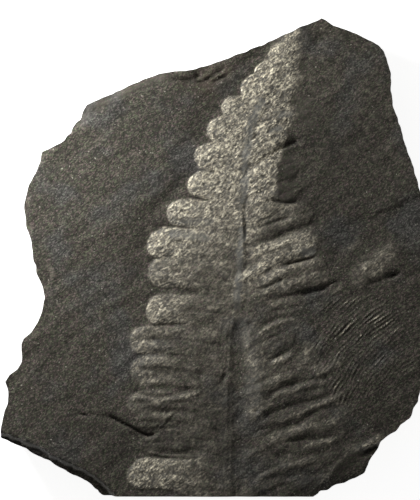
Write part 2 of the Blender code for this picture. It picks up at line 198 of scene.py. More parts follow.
# The edge of the shallow hollow in which the frond lies, on its left.
LEFT_MARGIN = [
    (-20.5, -56.0), (-19.7, -48.7), (-17.6, -41.7), (-19.6, -32.9), (-19.0, -25.5), (-19.2, -18.8),
    (-15.6, -11.6), (-15.1, -3.5), (-15.2, 3.3), (-10.9, 10.5), (-6.0, 17.2), (-4.4, 23.5), (-1.6, 29.6),
    (2.0, 35.2), (6.0, 38.8), (8.5, 42.0), (12.1, 45.8), (18.0, 54.0),
]
# The right edge of the film at the frond's tip, where the pinnules have run together.
FILM_EDGE_RIGHT = [
    (19.2, 55.0), (18.9, 50.5), (19.3, 46.7), (18.6, 43.1), (18.9, 39.7), (17.1, 36.9), (16.6, 35.0),
    (18.0, 33.0), (17.3, 31.2), (15.7, 26.9), (15.4, 23.1), (13.9, 19.8), (13.6, 17.0),
    (14.0, 14.0), (13.0, 12.0), (11.5, 9.0),
]

# Narrow ridges: a path, its height, half its width, and how much film is left on it. That film paints the
# ridge paler: partly film, partly a painted highlight on the crest.
RIDGES = [
    ([(8, 7.3), (12.1, 9.8), (19.5, 12.3)], 0.15, 1.24, 0.50),
    ([(9.4, 5.5), (20.4, 8.9)], 0.06, 1.10, 0.09),
    ([(7.8, 0.6), (11.6, 2.4), (13.9, 2.6), (19.5, 4.6), (20.9, 4.4), (22, 3.5)], 0.20, 1.24, 0.68),
    ([(16.4, 4.4), (21.1, 6.4)], 0.11, 0.94, 0.50),
    ([(5.8, -5.7), (12.3, -1), (22, 3.1)], 0.21, 1.25, 0.78),
    ([(10.7, -5.5), (12.3, -4.4), (18.8, -1.7), (23.3, -1)], 0.17, 0.96, 0.50),
    ([(9.8, -9.3), (12.5, -7.3), (14.3, -6.6), (18.6, -5.5), (23.8, -5)], 0.14, 1.10, 0.32),
    ([(26, -8.6), (29.4, -6.2)], 0.11, 0.47, 0.32),
    ([(6.9, -20.8), (8, -19.2), (12.1, -15.8), (14.6, -14.5), (18.6, -14)], 0.20, 0.55, 0.45),
    ([(11.9, -21.5), (16.6, -18.5)], 0.11, 0.94, 0.23),
    ([(12.8, -23.7), (15.7, -23), (17.9, -21.5)], 0.22, 0.55, 0.60),
    ([(8, -14.9), (9.6, -27.1), (9.4, -34.7)], 0.42, 2.20, 0.38),
    ([(9.2, -30.7), (12.5, -28), (16.1, -26.4)], 0.15, 1.79, 0.36),
    ([(18.2, -25.7), (21.5, -20.1)], 0.11, 1.24, 0.41),
    ([(22.4, -27.1), (29, -23.3)], 0.15, 0.70, 0.45),
    ([(9.4, -35), (13.7, -31.6), (15.5, -30.7), (23.8, -28.2)], 0.17, 0.96, 0.29),
    ([(12.5, -37.4), (17, -36.1), (29.2, -30.7)], 0.22, 0.70, 0.41),
    ([(12.1, -41.7), (13.9, -40.6), (20.6, -38.3), (28.5, -36.8)], 0.18, 1.24, 0.38),
    ([(19.1, -43.3), (24, -41.5), (27.8, -41.3)], 0.15, 0.62, 0.41),
    ([(6.5, -45.8), (12.3, -42.4)], 0.14, 0.96, 0.36),
    ([(9.2, -50.5), (12.1, -48.5), (15.7, -47.1), (23.8, -45.5)], 0.17, 0.78, 0.38),
    ([(8, -51.8), (10.7, -50.9)], 0.13, 0.62, 0.27),
    ([(6, 12.5), (6.7, -1)], 0.11, 0.38, 0.50),
    ([(6.2, 4.5), (5.2, -10.5)], 0.10, 0.95, 0.55),
    ([(7, 22), (7.6, 28.7), (8.9, 32.5), (12.5, 40), (17, 47.4)], 0.10, 0.90, 0.90),
    ([(11.4, 23.1), (19.2, 25.2)], 0.28, 0.55, 0.35),
    ([(-19, -18.8), (-18.3, -17.6), (-16.9, -16.7), (-15.1, -16.3), (-6.6, -16.7)], 0.16, 0.75, 0.32),
    ([(-17.6, -21), (-15.4, -20.3), (-12.2, -20.1), (-5.5, -20.3)], 0.12, 0.77, 0.23),
    ([(-17.8, -24.6), (-14.5, -23.3), (-9.5, -24.2)], 0.19, 0.99, 0.36),
    ([(-17.2, -28.9), (-12.7, -27.8), (-7.3, -28.7), (-4.3, -28.4)], 0.19, 0.77, 0.18),
    ([
        (-19, -32.9), (-18.1, -31.8), (-16.7, -31.4), (-12.7, -32.3), (-7.3, -31.6), (-2.5, -29.8)
    ], 0.17, 0.66, 0.42),
    ([(-12.9, -33.8), (-12.2, -32.9)], 0.35, 0.30, 0.80),
    ([(-12, -34.1), (-11.1, -33.4)], 0.35, 0.30, 0.70),
    ([(-18.3, -37), (-15.6, -36.1), (-7.3, -35.4), (-4.1, -36.1)], 0.16, 0.88, 0.18),
    ([(-16.7, -41.5), (-14.5, -44), (-12.9, -44.6)], 0.10, 0.31, 0.23),
    ([(-7.9, -51.8), (-6.8, -51.2), (-3.2, -50.9)], 0.17, 0.50, 0.41),
    ([(-10.4, -43.1), (-7.7, -42.6), (-5, -42.8)], 0.12, 0.77, 0.14),
    ([(-8.8, 39.3), (-5.5, 39.3), (1.7, 41.5)], 0.20, 0.50, 0.00),
    ([(-1.9, 38.4), (0.4, 38.8), (3.1, 40)], 0.14, 0.50, 0.00),
    ([(22.7, 24), (29.4, 26)], 0.07, 0.50, 0.00),
    ([(36.6, 10.7), (39.2, 11.5)], 0.16, 0.35, 0.10),
    ([(-41, -18.1), (-40.1, -20.6)], 0.17, 0.62, 0.00),
    ([(-37.6, -2.1), (-36.5, -2.8), (-36.1, -4.1), (-36.4, -5.3), (-37, -6.2)], 0.14, 0.35, 0.30),
    ([(29.9, 1.3), (32.1, 3.1)], 0.07, 0.77, 0.45),
    ([(33.2, -3.9), (33.7, -1.9), (34.8, -0.5)], 0.08, 1.10, 0.50),
    ([(35.7, -3.2), (39.8, 1.3)], 0.07, 1.76, 0.45),
    ([(33, -43), (38, -40.6)], 0.60, 0.70, 0.55),
    ([(27.5, -48.2), (32.4, -44.6)], 0.12, 1.70, 0.50),
    ([(25, -50.5), (26.5, -49.5)], 0.06, 1.50, 0.40),
]
# Clefts and cracks: a path, its depth and half its width.
CLEFTS = [
    ([(-30.9, -35.4), (-24.1, -35.6)], 0.45, 0.22),
    ([(-23.9, -35.6), (-14.9, -40.1), (-13.1, -39.7)], 0.90, 0.36),
    ([(-18.3, -38.3), (-14.9, -38.8), (-13.1, -38.3), (-11.1, -36.8)], 0.25, 0.24),
    ([(9.8, 6.7), (17.3, 9.4)], 0.24, 0.34),
    ([(10.7, 3.7), (19.3, 6), (22.9, 8.2)], 0.17, 0.68),
    ([(8.9, -1), (10.7, 0.4), (18.6, 3.1)], 0.10, 0.48),
    ([(10.7, -4.4), (12.1, -3.2), (15.9, -1.7)], 0.10, 0.39),
    ([(15.9, -1.7), (22.9, 0.1)], 0.60, 0.32),
    ([(9.6, -7.5), (16.1, -4.8)], 0.22, 0.37),
    ([(11.4, -9.3), (22, -7.7)], 0.16, 0.68),
    ([(19.3, -8.2), (23.8, -7.3), (25.4, -6.4)], 0.75, 0.64),
    ([(24.5, -6.9), (26.7, -5.7), (28.7, -5.3)], 0.45, 0.28),
    ([(10.7, -15.4), (13.9, -14), (16.1, -13.6)], 0.10, 0.44),
    ([(19.3, -13.8), (19.7, -15.6), (17.9, -19.9)], 0.11, 0.48),
    ([(12.1, -23.5), (16.6, -21.2)], 0.17, 0.41),
    ([(10.7, -32.7), (15.2, -29.1), (18.6, -28)], 0.25, 0.65),
    ([(17, -28.7), (26.3, -26.6)], 0.24, 0.60),
    ([(10.7, -36.1), (12.5, -35), (17, -33.4), (25.6, -31.4)], 0.21, 0.65),
    ([(13.9, -38.3), (18.4, -37.9), (22.9, -34.5)], 0.22, 0.64),
    ([(10.7, -40.6), (14.3, -38.3)], 0.21, 0.44),
    ([(15.9, -41.3), (24.2, -40.8), (29, -39.7)], 0.28, 0.50),
    ([(13.7, -44.6), (20.4, -44.6), (26.7, -42.8)], 0.16, 0.75),
    ([(13, -50), (24.9, -48.2)], 0.18, 0.75),
    ([(13.2, 23.8), (17.2, 25.5)], 0.30, 0.38),
    ([(15.6, 25.2), (19.2, 26.3)], 0.60, 0.60),
    ([(11.4, 23.1), (14.8, 24.2)], 0.18, 0.34),
    ([(12.5, 13), (15.7, 12.3), (19.1, 12.7)], 0.60, 0.42),
    ([(14.6, 31), (16.1, 30.7), (17.5, 31.2)], 0.21, 0.29),
    ([(19.3, 33.2), (22, 33.7), (23.8, 33.4)], 0.15, 0.40),
    ([(6.9, 12.1), (6.9, 4.4)], 0.18, 0.25),
    ([(4.4, -10.2), (3.3, -17), (2.6, -25.7)], 0.15, 0.26),
    ([(2.6, -25.7), (3.5, -29.6), (3.1, -53.2)], 0.12, 0.34),
    ([(2.9, -25.7), (1.5, -28.4)], 0.50, 0.55),
    ([(-14.5, 7.1), (-10.9, 6.9)], 0.15, 0.46),
    ([(-14, -5.9), (-4.3, -7.7), (-1.9, -7.7)], 0.12, 0.92),
    ([(-12.9, -15.2), (-6.1, -14.9)], 0.20, 0.37),
    ([(-15.4, -19), (-12.7, -18.5), (-10.4, -19.2), (-5, -19.2)], 0.16, 0.69),
    ([(-17.2, -22.6), (-9.5, -20.8)], 0.09, 0.57),
    ([(-14, -26), (-3.7, -26.9)], 0.23, 0.98),
    ([(-18.7, -30), (-14.5, -31.4), (-12.2, -31.4), (-9.7, -31.1), (-5, -29.6)], 0.19, 0.55),
    ([(-16.5, -33.6), (-12.2, -34.5), (-6.8, -34.7), (-2.8, -35.4)], 0.23, 0.86),
    ([(-13.3, -38.8), (-6.6, -37.7)], 0.15, 0.69),
    ([(-11.8, -41), (-4.1, -41.9)], 0.18, 0.69),
    ([(-14.9, -44.2), (-9.3, -45.5)], 0.18, 0.46),
    ([(-10, -43.7), (-7.3, -44), (-4.6, -43.5)], 0.12, 0.57),
    ([(-27.5, 31), (-27.1, 33.2), (-22.8, 34.5), (-20.3, 36.4), (-12.2, 39.3)], 0.26, 0.30),
    ([(-39, -2.6), (-37.6, -3), (-36.9, -4.2), (-37.3, -5.6)], 0.14, 0.30),
    ([(38.8, -4.3), (41.8, -3.5)], 1.20, 0.45),
    ([(34.6, -5.9), (38.6, -5)], 0.35, 0.45),
    ([(33, -1.9), (34.1, -0.8), (37.3, -0.1)], 0.30, 0.28),
    ([(-10, 40), (-5.5, 40), (-2.3, 41.5)], 0.40, 0.40),
    ([(-7.3, 39.4), (-2.1, 39.7), (2.4, 42.8)], 0.55, 0.42),
    ([(-4.3, 41.8), (-3.2, 39.9)], 0.45, 0.50),
    ([(-0.8, 39.2), (3.2, 41.2)], 0.45, 0.40),
    ([(32.6, 9.4), (36.5, 9.8), (39.5, 10.7), (42, 11.6)], 0.14, 0.24),
    ([(33.4, -44.3), (37.8, -42)], 1.00, 0.45),
    ([(37.4, -43.7), (34, -49.3), (28.5, -51.3)], 0.50, 0.90),
    ([(34.6, -3), (35.9, -2.8)], 0.07, 0.34),
    ([(31, -3.5), (32.3, -3.2)], 0.09, 0.34),
    ([(36.4, -1.2), (38.2, -2.3)], 0.07, 0.34),
    ([(32.5, -4.8), (33.5, -3.5), (33.4, -2.2)], 0.12, 0.26),
    ([(37.6, 0.2), (38.8, -1), (39.2, -2.4)], 0.12, 0.26),
    ([(35, 0.8), (36.2, -0.4)], 0.10, 0.25),
]
LINE_STRAY = 0.4  # the share of the pinnules' straying that these lines follow
# Where film or stone lies smooth and grey: a path, half its width, and how smooth it is.
SMOOTH_PATCHES = [
    ([
        (10.7, 35.2), (9.4, 32.8), (8.3, 29.8), (7.6, 26.5), (7.1, 22.9), (6.9, 18.4), (6.5, 13)
    ], 0.85, 0.75),
    ([(6.2, 6), (5.8, 0), (5.4, -5), (5.2, -11)], 0.8, 0.75),
    ([(19.5, 35.2), (21.1, 32.8), (22, 29.6)], 1.5, 0.5),
    ([(17, 21.5), (16.8, 17.9), (16.6, 14.3)], 1.9, 0.7),
    ([(20.2, 1.3), (23.1, 1.3)], 0.9, 0.8),
    ([(-9.1, 8), (-5.5, 8), (-0.5, 8.2)], 0.9, 0.45),
    ([(-9.6, 5.3), (-6.5, 5.2), (-2, 4.6)], 0.9, 0.6),
    ([(13.2, 28.7), (14.8, 28.9)], 0.8, 0.6),
    ([(15, 32.3), (17, 32.3)], 0.8, 0.6),
    ([(27.8, -48), (30.5, -45.8), (32.8, -43.7)], 1.6, 0.6),
    ([(7.9, -15.5), (8.4, -20), (9.2, -25), (9.4, -31)], 1.9, 0.45),
    ([(-30, 31), (-28, 33.8), (-22, 36.6), (-16, 39.4), (-11, 40.8)], 1.3, 0.8),
]
# Where the stone is stained with rust: a place, how far round it, and how strongly.
RUST_PATCHES = [(-1.5, 39.6, 4.5, 0.55), (2.5, 42.0, 3.0, 0.5), (-6.5, 39.5, 3.5, 0.35)]
# Where the stone is darker, partly darker stone and partly painted shade under pinnules and bumps, and where
# the frond keeps more of its film: likewise.
DARK_PATCHES = [
    (-33.0, -42.0, 8.0, 0.20), (-22.0, -43.0, 7.0, 0.30), (-12.0, -41.0, 4.5, 0.65),
    (-5.5, -41.5, 4.5, 0.55), (1.3, -31.0, 4.5, 0.62), (2.0, -36.5, 4.5, 0.55), (2.3, -43.5, 5.0, 0.60),
    (5.8, -16.3, 3.0, 0.50),
    (19.3, -33.2, 6.0, 0.35), (12.5, -52.5, 7.0, 0.50), (22.0, -52.0, 6.0, 0.75), (24.0, -47.0, 6.0, 0.35),
    (31.3, -39.8, 2.6, 0.50), (27.2, 25.3, 9.0, 0.45), (24.5, 9.6, 8.0, 0.35), (29.4, 2.8, 6.0, 0.35),
    (-11.0, 33.2, 7.0, 0.30), (-25.0, 36.5, 7.0, 0.20), (18.0, -19.0, 4.0, 0.30), (3.0, 24.0, 9.0, 0.20),
    (-9.0, -39.0, 3.8, 0.60), (23.8, -7.8, 2.2, 0.50), (17.0, -32.5, 4.0, 0.30), (15.9, -39.0, 3.0, 0.30),
    (28.3, -43.2, 2.5, 0.50), (37.3, -38.8, 2.5, 0.40),
]
# These raise the film where the frond shows brighter: partly more film, partly a painted highlight for its
# glints.
FILM_PATCHES = [
    (14.8, 42.2, 4.0, 0.35), (14.8, 19.7, 3.5, 0.30), (8.0, 6.2, 3.5, 0.30), (5.8, -7.3, 3.0, 0.30),
    (14.8, -7.3, 3.5, 0.30), (-15.0, -21.0, 4.5, 0.15), (-14.0, -28.0, 4.5, 0.15), (10.3, -23.0, 3.5, 0.20),
]
# Scars of thin flakes: the stone is a little lower on the left of each line, up to their reach.
FLAKES = [
    [(-10.6, -36.5), (-12.2, -38.0), (-14.5, -38.8), (-16.7, -39.0)],
    [(-16.9, -41.0), (-15.1, -43.5), (-12.0, -44.5), (-6.6, -44.6)],
]
SCAR_DROP, SCAR_RUN, SCAR_REACH = 0.3, 0.3, 4.0

# The leaf with parallel veins: they are arcs about one centre.
VEINED_LEAF = [
    (26.0, -7.3), (32.8, -6.4), (41.3, -5.3), (46.3, -9.5), (46.3, -27.5), (41.8, -33.2), (30.5, -36.5),
    (23.8, -32.0), (19.3, -25.7), (19.3, -18.5), (22.0, -12.2),
]
VEIN_CENTRE = (61.0, -46.0)
# Where the veins show: a place, how far round it they reach, and how strongly they stand there.
VEIN_PATCHES = [
    (36.0, -15.0, 6.0, 1.05), (30.5, -17.5, 5.5, 0.95), (28.0, -9.0, 5.5, 1.0), (22.0, -21.0, 4.5, 0.9),
    (44.5, -24.0, 4.0, 0.9), (28.0, -30.0, 5.0, 0.8), (32.0, -20.0, 17.0, 0.6),
]

# Where one bed gives way to the next, as shares of the thickness, and the share over which it does.
PARTINGS = [0.15, 0.31, 0.46, 0.63, 0.80]
PARTING_GAP = 0.016
# The ledges of the back: it lies higher on the left of each line.
BACK_LEDGE_LINES = [
    [(-33.0, -60.0), (-38.0, -30.0), (-31.0, -14.0), (-35.0, 4.0), (-31.0, 22.0), (-33.0, 60.0)],
    [(-40.0, 36.0), (-8.0, 33.0), (14.0, 38.5), (30.0, 33.0), (60.0, 36.0)],
    [(60.0, 24.0), (38.0, 10.0), (41.5, -12.0), (36.0, -34.0), (41.0, -60.0)],
]


# Sizes and colours that a user may change ----------------------------------------------------------------


def length(name, description, millimetres):
    """A length property. Blender keeps it in metres."""
    default = millimetres * MM
    return FloatProperty(name=name, description=description, default=default, unit="LENGTH", precision=5)


def share(name, description, default):
    """A plain number without a unit."""
    return FloatProperty(name=name, description=description, default=default)


def colour(name, description, default):
    """A colour property, as linear red, green and blue."""
    return FloatVectorProperty(
        name=name, description=description, default=default, subtype="COLOR", size=3, min=0.0, max=1.0
    )


class StoneSizes(bpy.types.PropertyGroup):
    """Sizes of the slab itself."""

    thickness: length("Thickness", "Height of the fern face over the back, in the middle", 14.0)
    swell: length("Swell", "Height of the broad waves in the bedding", 0.28)
    swell_length: length("Swell length", "Length of the broad waves", 21.0)
    ripple: length("Ripple", "Height of the slanting waves in the bedding", 0.20)
    ripple_length: length("Ripple length", "Length of the slanting waves", 2.6)
    grit: length("Grit", "Height of the stone's coarse grain", 0.055)
    grit_length: length("Grit length", "Length of the stone's coarse grain", 1.5)
    hollow_depth: length("Hollow depth", "How far the stone dips towards the frond's left margin", 0.5)
    hollow_run: length("Hollow run", "How far from the margin the dip starts", 6.5)
    bed_step: length("Bed step", "How far one bed stands in from the next", 0.9)
    bed_length: length("Bed length", "Length of the steps along a side", 11.0)
    batter: length("Batter", "How far the sides lean in from the fern face to the back", 1.4)
    splinter: length("Splinter", "Roughness of the broken sides", 0.35)
    back_ledge: length("Back ledge", "Height of the ledges on the cleaved back", 1.2)
    back_ledge_run: length("Back ledge run", "Length of the slope of those ledges", 1.0)
    ragged: length("Ragged edge", "How far the edge of the fern face is nibbled", 0.30)
    chip: length("Chips", "Depth of the chips along the edge of the fern face", 0.35)


class FrondSizes(bpy.types.PropertyGroup):
    """Sizes of the frond's relief."""

    furrow_depth: length("Furrow depth", "Depth of the groove along each pinnule's midvein", 0.10)
    furrow_half: length("Furrow half width", "Half the width of that groove", 0.4)
    web_rise: length("Web rise", "Height of the lamina that joins the pinnules", 0.35)
    web_reach: length("Web reach", "How far from the rachis that lamina reaches", 5.0)
    wobble: length("Wobble", "How far the pinnules' margins stray", 0.35)
    streak: length("Streaks", "Height of the streaks that run along the pinnules", 0.09)
    streak_length: length("Streak spacing", "Distance from one of those streaks to the next", 1.3)
    crumple: length("Crumple", "Height of the folds of the carbon film", 0.035)
    crumple_length: length("Crumple size", "Distance between the folds of the carbon film", 1.6)
    vein_height: length("Vein height", "Height of the parallel veins of the second leaf", 0.14)
    vein_spacing: length("Vein spacing", "Distance from one parallel vein to the next", 0.85)


class MeshSizes(bpy.types.PropertyGroup):
    """Distances between the mesh's points."""

    fine: length("Fine", "Distance between points on the frond", 0.31)
    plain: length("Plain", "Distance between points on the bare stone", 0.55)
    rim: length("Rim", "Distance between points along the outline", 0.45)
    back: length("Back", "Distance between points on the back", 1.5)


class StoneLooks(bpy.types.PropertyGroup):
    """Colours of the stone and of the carbon film."""

    olive: colour("Olive", "The stone's greener grains", (0.054, 0.0625, 0.037))
    umber: colour("Umber", "The stone's browner grains", (0.079, 0.0575, 0.054))
    slate: colour("Slate", "Bluer clouds in the stone", (0.064, 0.064, 0.062))
    rust: colour("Rust", "Iron stains on the broken edges", (0.105, 0.072, 0.045))
    film: colour("Film", "The carbon film between its folds", (0.145, 0.134, 0.110))
    # The fold colour is partly the film's own paler folds and partly painted sheen. The glint colour is a
    # painted highlight: the glints on the film's grains.
    fold_and_sheen: colour("Fold", "The folds of the carbon film", (0.440, 0.385, 0.285))
    painted_glint: colour("Glint", "The brightest grains of the carbon film", (0.95, 0.88, 0.68))
    graphite: colour("Graphite", "The film where it lies smooth", (0.262, 0.266, 0.248))
    mica: colour("Mica", "Flakes of mica in the stone", (0.60, 0.57, 0.48))


class StudioSizes(bpy.types.PropertyGroup):
    """The camera, the lights and the floor."""

    camera_height: length("Camera height", "Height of the camera over the fern face", 600.0)
    view_height: length("View height", "Length of slab that the picture shows from top to bottom", 112.5)
    view_x: length("View X", "Middle of the picture, across", -0.96)
    view_y: length("View Y", "Middle of the picture, along", 1.72)
    lamp_x: length("Lamp X", "Place of the lamp, across", -102.0)
    lamp_y: length("Lamp Y", "Place of the lamp, along", 78.0)
    lamp_z: length("Lamp Z", "Height of the lamp", 66.0)
    lamp_size: length("Lamp size", "Width of the lamp's face", 50.0)
    lamp_power: share("Lamp power", "Power of the lamp, in watts", 0.30)
    fill: share("Fill", "Strength of the light from all round", 0.16)
    floor_size: length("Floor size", "Width of the floor", 3000.0)
    floor_colour: colour("Floor", "Colour of the floor", (0.86, 0.86, 0.85))
    floor_glow: share("Floor glow", "How much light the floor gives of its own, as a light table does", 0.85)


GROUPS = {
    "fossil_stone": StoneSizes,
    "fossil_frond": FrondSizes,
    "fossil_mesh": MeshSizes,
    "fossil_looks": StoneLooks,
    "fossil_studio": StudioSizes,
}


def millimetres(group):
    """A group's lengths, in millimetres."""
    return SimpleNamespace(**{name: getattr(group, name) / MM for name in group.__annotations__})


# Relief --------------------------------------------------------------------------------------------------


def smoothstep(part):
    """0 to 1 with a level start and end."""
    part = np.clip(part, 0.0, 1.0)
    return part * part * (3.0 - 2.0 * part)


def unevenness(x, y, size, layer):
    """Smooth lumps and dips from about -1 to 1, of about this size. Each layer has its own."""
    return np.array([noise.noise(Vector((a / size, b / size, layer))) for a, b in zip(x, y)])


def turned(x, y, slant):
    """The same points, measured along and across a direction."""
    return x * np.cos(slant) + y * np.sin(slant), y * np.cos(slant) - x * np.sin(slant)


def beside(path, x, y):
    """How far each point lies to the left of a path, in its direction. It is negative on the right."""
    nearest = np.full(x.shape, np.inf)
    sideways = np.zeros(x.shape)
    for (x0, y0), (x1, y1) in zip(path, path[1:]):
        run, rise = x1 - x0, y1 - y0
        part = np.clip(((x - x0) * run + (y - y0) * rise) / (run * run + rise * rise), 0.0, 1.0)
        away = np.hypot(x - x0 - part * run, y - y0 - part * rise)
        left = run * (y - y0) - rise * (x - x0) > 0
        closer = away < nearest
        nearest = np.where(closer, away, nearest)
        sideways = np.where(closer, np.where(left, away, -away), sideways)
    return sideways


def inside(ring, x, y):
    """How far each point lies inside a closed, clockwise path. It is negative outside."""
    return -beside([*ring, ring[0]], x, y)


def pinnule(root, tip, width, rise, side, x, y, sizes):
    """How high one pinnule stands, and how far it covers each point: a vaulted tongue with a furrow."""
    run, climb = tip[0] - root[0], tip[1] - root[1]
    reach = np.hypot(run, climb)
    along = ((x - root[0]) * run + (y - root[1]) * climb) / reach**2
    across = ((y - root[1]) * run - (x - root[0]) * climb) / reach
    across = across - side * ARCH * reach * 4 * along * (1 - along)
    rounding = width / 2 / reach
    half = width / 2 * (1 + MERGING[side] * smoothstep(1 - along / 0.6))
    out = np.hypot(across / half, np.clip((along - 1 + rounding) / rounding, 0.0, None))
    body = np.clip(1 - out**2, 0.0, None) ** 0.85
    # The lower pinnules sink towards their roots.
    at_root = np.interp(tip[1], [-10.0, 15.0], [0.5, 0.95])
    body = body * smoothstep(1 + along / 0.05) * (at_root + (1 - at_root) * smoothstep(along / 0.3))
    if side > 0:
        body = body * (1 - TIP_FALL_RIGHT * smoothstep((along - 0.45) / 0.5))
    furrow = np.exp(-((across / sizes.furrow_half) ** 2)) * smoothstep((1 - out) / 0.35)
    height = rise * body - sizes.furrow_depth * furrow * (body > 0)
    # The film is worn off the roots of the lower ones.
    left_at_root = np.interp(tip[1], [-20.0, 5.0, 25.0], [0.10, 0.30, 0.95])
    starts = np.interp(tip[1], [-48.0, -40.0, -15.0, 15.0], [0.10, 0.32, 0.32, 0.0])
    straying = along + 0.15 * unevenness(x, y, 2.4, 59.0)
    worn = left_at_root + (1 - left_at_root) * np.clip((straying - starts) / 0.68, 0.0, 1.0)
    return height, smoothstep((1.02 - out) / 0.15) * smoothstep(1 + along / 0.1) * worn


def drawn(path, half_width, x, y):
    """A soft line along a path: 1 in its middle, fading towards its sides and its ends."""
    from_end = np.minimum(*(np.hypot(x - end_x, y - end_y) for end_x, end_y in (path[0], path[-1])))
    return np.exp(-((beside(path, x, y) / half_width) ** 2)) * smoothstep(0.25 + from_end / 1.6)


def patches(places, x, y):
    """Soft round patches: how strong the strongest one is at each point."""
    strength = np.zeros(x.shape)
    for centre_x, centre_y, reach, strongest in places:
        away = np.hypot(x - centre_x, y - centre_y) / reach
        strength = np.maximum(strength, strongest * np.exp(-(away**2)))
    return strength


def less_strayed(x, y, stray_x, stray_y):
    """Points that have strayed only as far as the ridges and the clefts do."""
    return x + LINE_STRAY * (stray_x - x), y + LINE_STRAY * (stray_y - y)


def frond(x, y, stray_x, stray_y, sizes):
    """The frond's relief, and how much carbon film lies on each point."""
    from_rachis = beside(RACHIS, stray_x, stray_y)
    web = sizes.web_rise * np.interp(y, [10.0, 28.0], [1.0, 1.6])
    height = web * smoothstep(1 - np.abs(from_rachis) / sizes.web_reach)
    film = np.zeros(x.shape)
    for side, pinnules in ((-1, PINNULES_LEFT), (1, PINNULES_RIGHT)):
        for root, tip, width, rise, left_on in pinnules:
            raised, cover = pinnule(root, tip, width, rise, side, stray_x, stray_y, sizes)
            height = np.maximum(height, raised)
            film = np.maximum(film, cover * left_on)
    on_left = from_rachis > 0
    along, across = turned(x, y, np.where(on_left, STREAK_SLANT_LEFT, STREAK_SLANT_RIGHT))
    streaks = unevenness(along / 5, across + 40.0 * on_left, sizes.streak_length, 61.0)
    on_frond = smoothstep(height / 0.15)
    height = height + sizes.streak * streaks * on_frond * smoothstep((12.0 - y) / 10.0)
    film = np.maximum(film, np.where(on_left, FILM_LEFT, FILM_RIGHT) * on_frond)
    at, depth, half_width = zip(*TROUGH_AT)
    half = np.interp(y, at, half_width)
    left_wall = smoothstep((half - from_rachis) / TROUGH_RUN_LEFT)
    right_wall = smoothstep((half + TROUGH_RUN_RIGHT + from_rachis) / TROUGH_RUN_RIGHT)
    height = height - np.interp(y, at, depth) * left_wall * right_wall
    uneven = 0.85 + 0.3 * unevenness(x, y, 2.2, 53.0)
    near = less_strayed(x, y, stray_x, stray_y)
    for path, rise, half_width, left_on in RIDGES:
        line = drawn(path, half_width, *near)
        height = height + rise * line * uneven
        # Paler film along the ridge: partly film, partly a painted highlight.
        film = np.maximum(film, left_on * drawn(path, 1.3 * half_width, stray_x, stray_y))
    return height, film


def lump(x, y):
    """The scrap of another plant, a low mound that ends in a scarp on its lower right."""
    dx, dy = x - LUMP_CENTRE[0], y - LUMP_CENTRE[1]
    along, across = turned(dx, dy, LUMP_SLANT)
    along, across = along / LUMP_REACH[0], across / LUMP_REACH[1]
    return smoothstep(1.15 - np.hypot(along, across)) * smoothstep((across + 1.0) / 0.4)


def veins(x, y, sizes):
    """The parallel veins of the second leaf."""
    within = smoothstep(inside(VEINED_LEAF, x, y) / 3.0)
    dx, dy = x - VEIN_CENTRE[0], y - VEIN_CENTRE[1]
    from_centre = np.hypot(dx, dy)
    around = from_centre * np.arctan2(dy, -dx)
    from_centre = from_centre + 0.50 * unevenness(x, y, 5.0, 23.0)
    strength = patches(VEIN_PATCHES, x, y)
    uneven = 0.6 + 1.0 * unevenness(around / 3, from_centre, 1.3, 29.0)
    return np.cos(2 * np.pi * from_centre / sizes.vein_spacing) * uneven * strength * within


def crumple(x, y, sizes):
    """The folds of the film: a net of low ridges, drawn out along one slant."""
    along, across = turned(x, y, GRAIN_SLANT)
    return 1 - 2 * np.abs(unevenness(along / 1.8, across, sizes.crumple_length, 47.0))


def bedding(x, y, stone):
    """Height of the stone that the frond lies on, without its slanting waves, and those waves."""
    height = stone.thickness - FALL_TO_RIGHT * x + RISE_TO_TIP * y
    height = height + stone.swell * unevenness(x, y, stone.swell_length, 0.0)
    along, across = turned(x, y, BEDDING_SLANT)
    ripple = stone.ripple * (unevenness(along / 3.5, across, stone.ripple_length, 5.0) - 0.4)
    height = height + stone.grit * unevenness(along / 2.8, across, stone.grit_length, 31.0)
    hollow = stone.hollow_depth * np.interp(y, [-20.0, 0.0], [0.15, 1.0])
    height = height - hollow * smoothstep(1 - beside(LEFT_MARGIN, x, y) / stone.hollow_run)
    below_flake = beside(FLAKE_RIGHT, x, y)
    flake = smoothstep(below_flake / FLAKE_RUN) * smoothstep(1 - below_flake / FLAKE_REACH)
    flake = flake * smoothstep((x - 26) / 6)
    return height - FLAKE_DROP * flake, ripple


def strayed(x, y, sizes):
    """The points moved a little this way and that, so that the margins drawn on them are uneven."""
    stray_x = x + sizes.wobble * unevenness(x, y, 3.1, 11.0)
    stray_y = y + sizes.wobble * unevenness(x, y, 2.7, 17.0)
    stray_x = stray_x + FINE_WOBBLE * unevenness(x, y, FINE_WOBBLE_LENGTH, 12.0)
    stray_y = stray_y + FINE_WOBBLE * unevenness(x, y, FINE_WOBBLE_LENGTH, 18.0)
    return stray_x, stray_y


def up_to_edge(film, x, y, stray_x, stray_y):
    """The film at the frond's tip, where it covers all that lies between the rachis and its right edge."""
    edge_run = np.interp(y, [22.0, 42.0], [1.2, 4.0])
    from_edge = beside(FILM_EDGE_RIGHT, stray_x, stray_y) + 0.9 * unevenness(x, y, 1.7, 67.0)
    before_edge = smoothstep(0.5 - from_edge / edge_run) * np.interp(y, [45.0, 51.0], [1.0, 0.6])
    film = np.maximum(film, smoothstep((3.2 - beside(RACHIS, x, y)) / 1.5) * smoothstep((y - 14.0) / 6.0))
    return film * (1 - FILM_LOST * (1 - before_edge) * smoothstep((y - 10.0) / 5.0))


def smoothness(x, y, stray_x, stray_y):
    """How smooth the film or the stone lies at each point."""
    smooth = np.zeros(x.shape)
    frayed = 1.5 + 0.7 * unevenness(x, y, 1.1, 71.0)
    for path, half_width, strength in SMOOTH_PATCHES:
        patch = smoothstep(frayed - np.abs(beside(path, stray_x, stray_y)) / half_width)
        smooth = np.maximum(smooth, strength * patch)
    return smooth


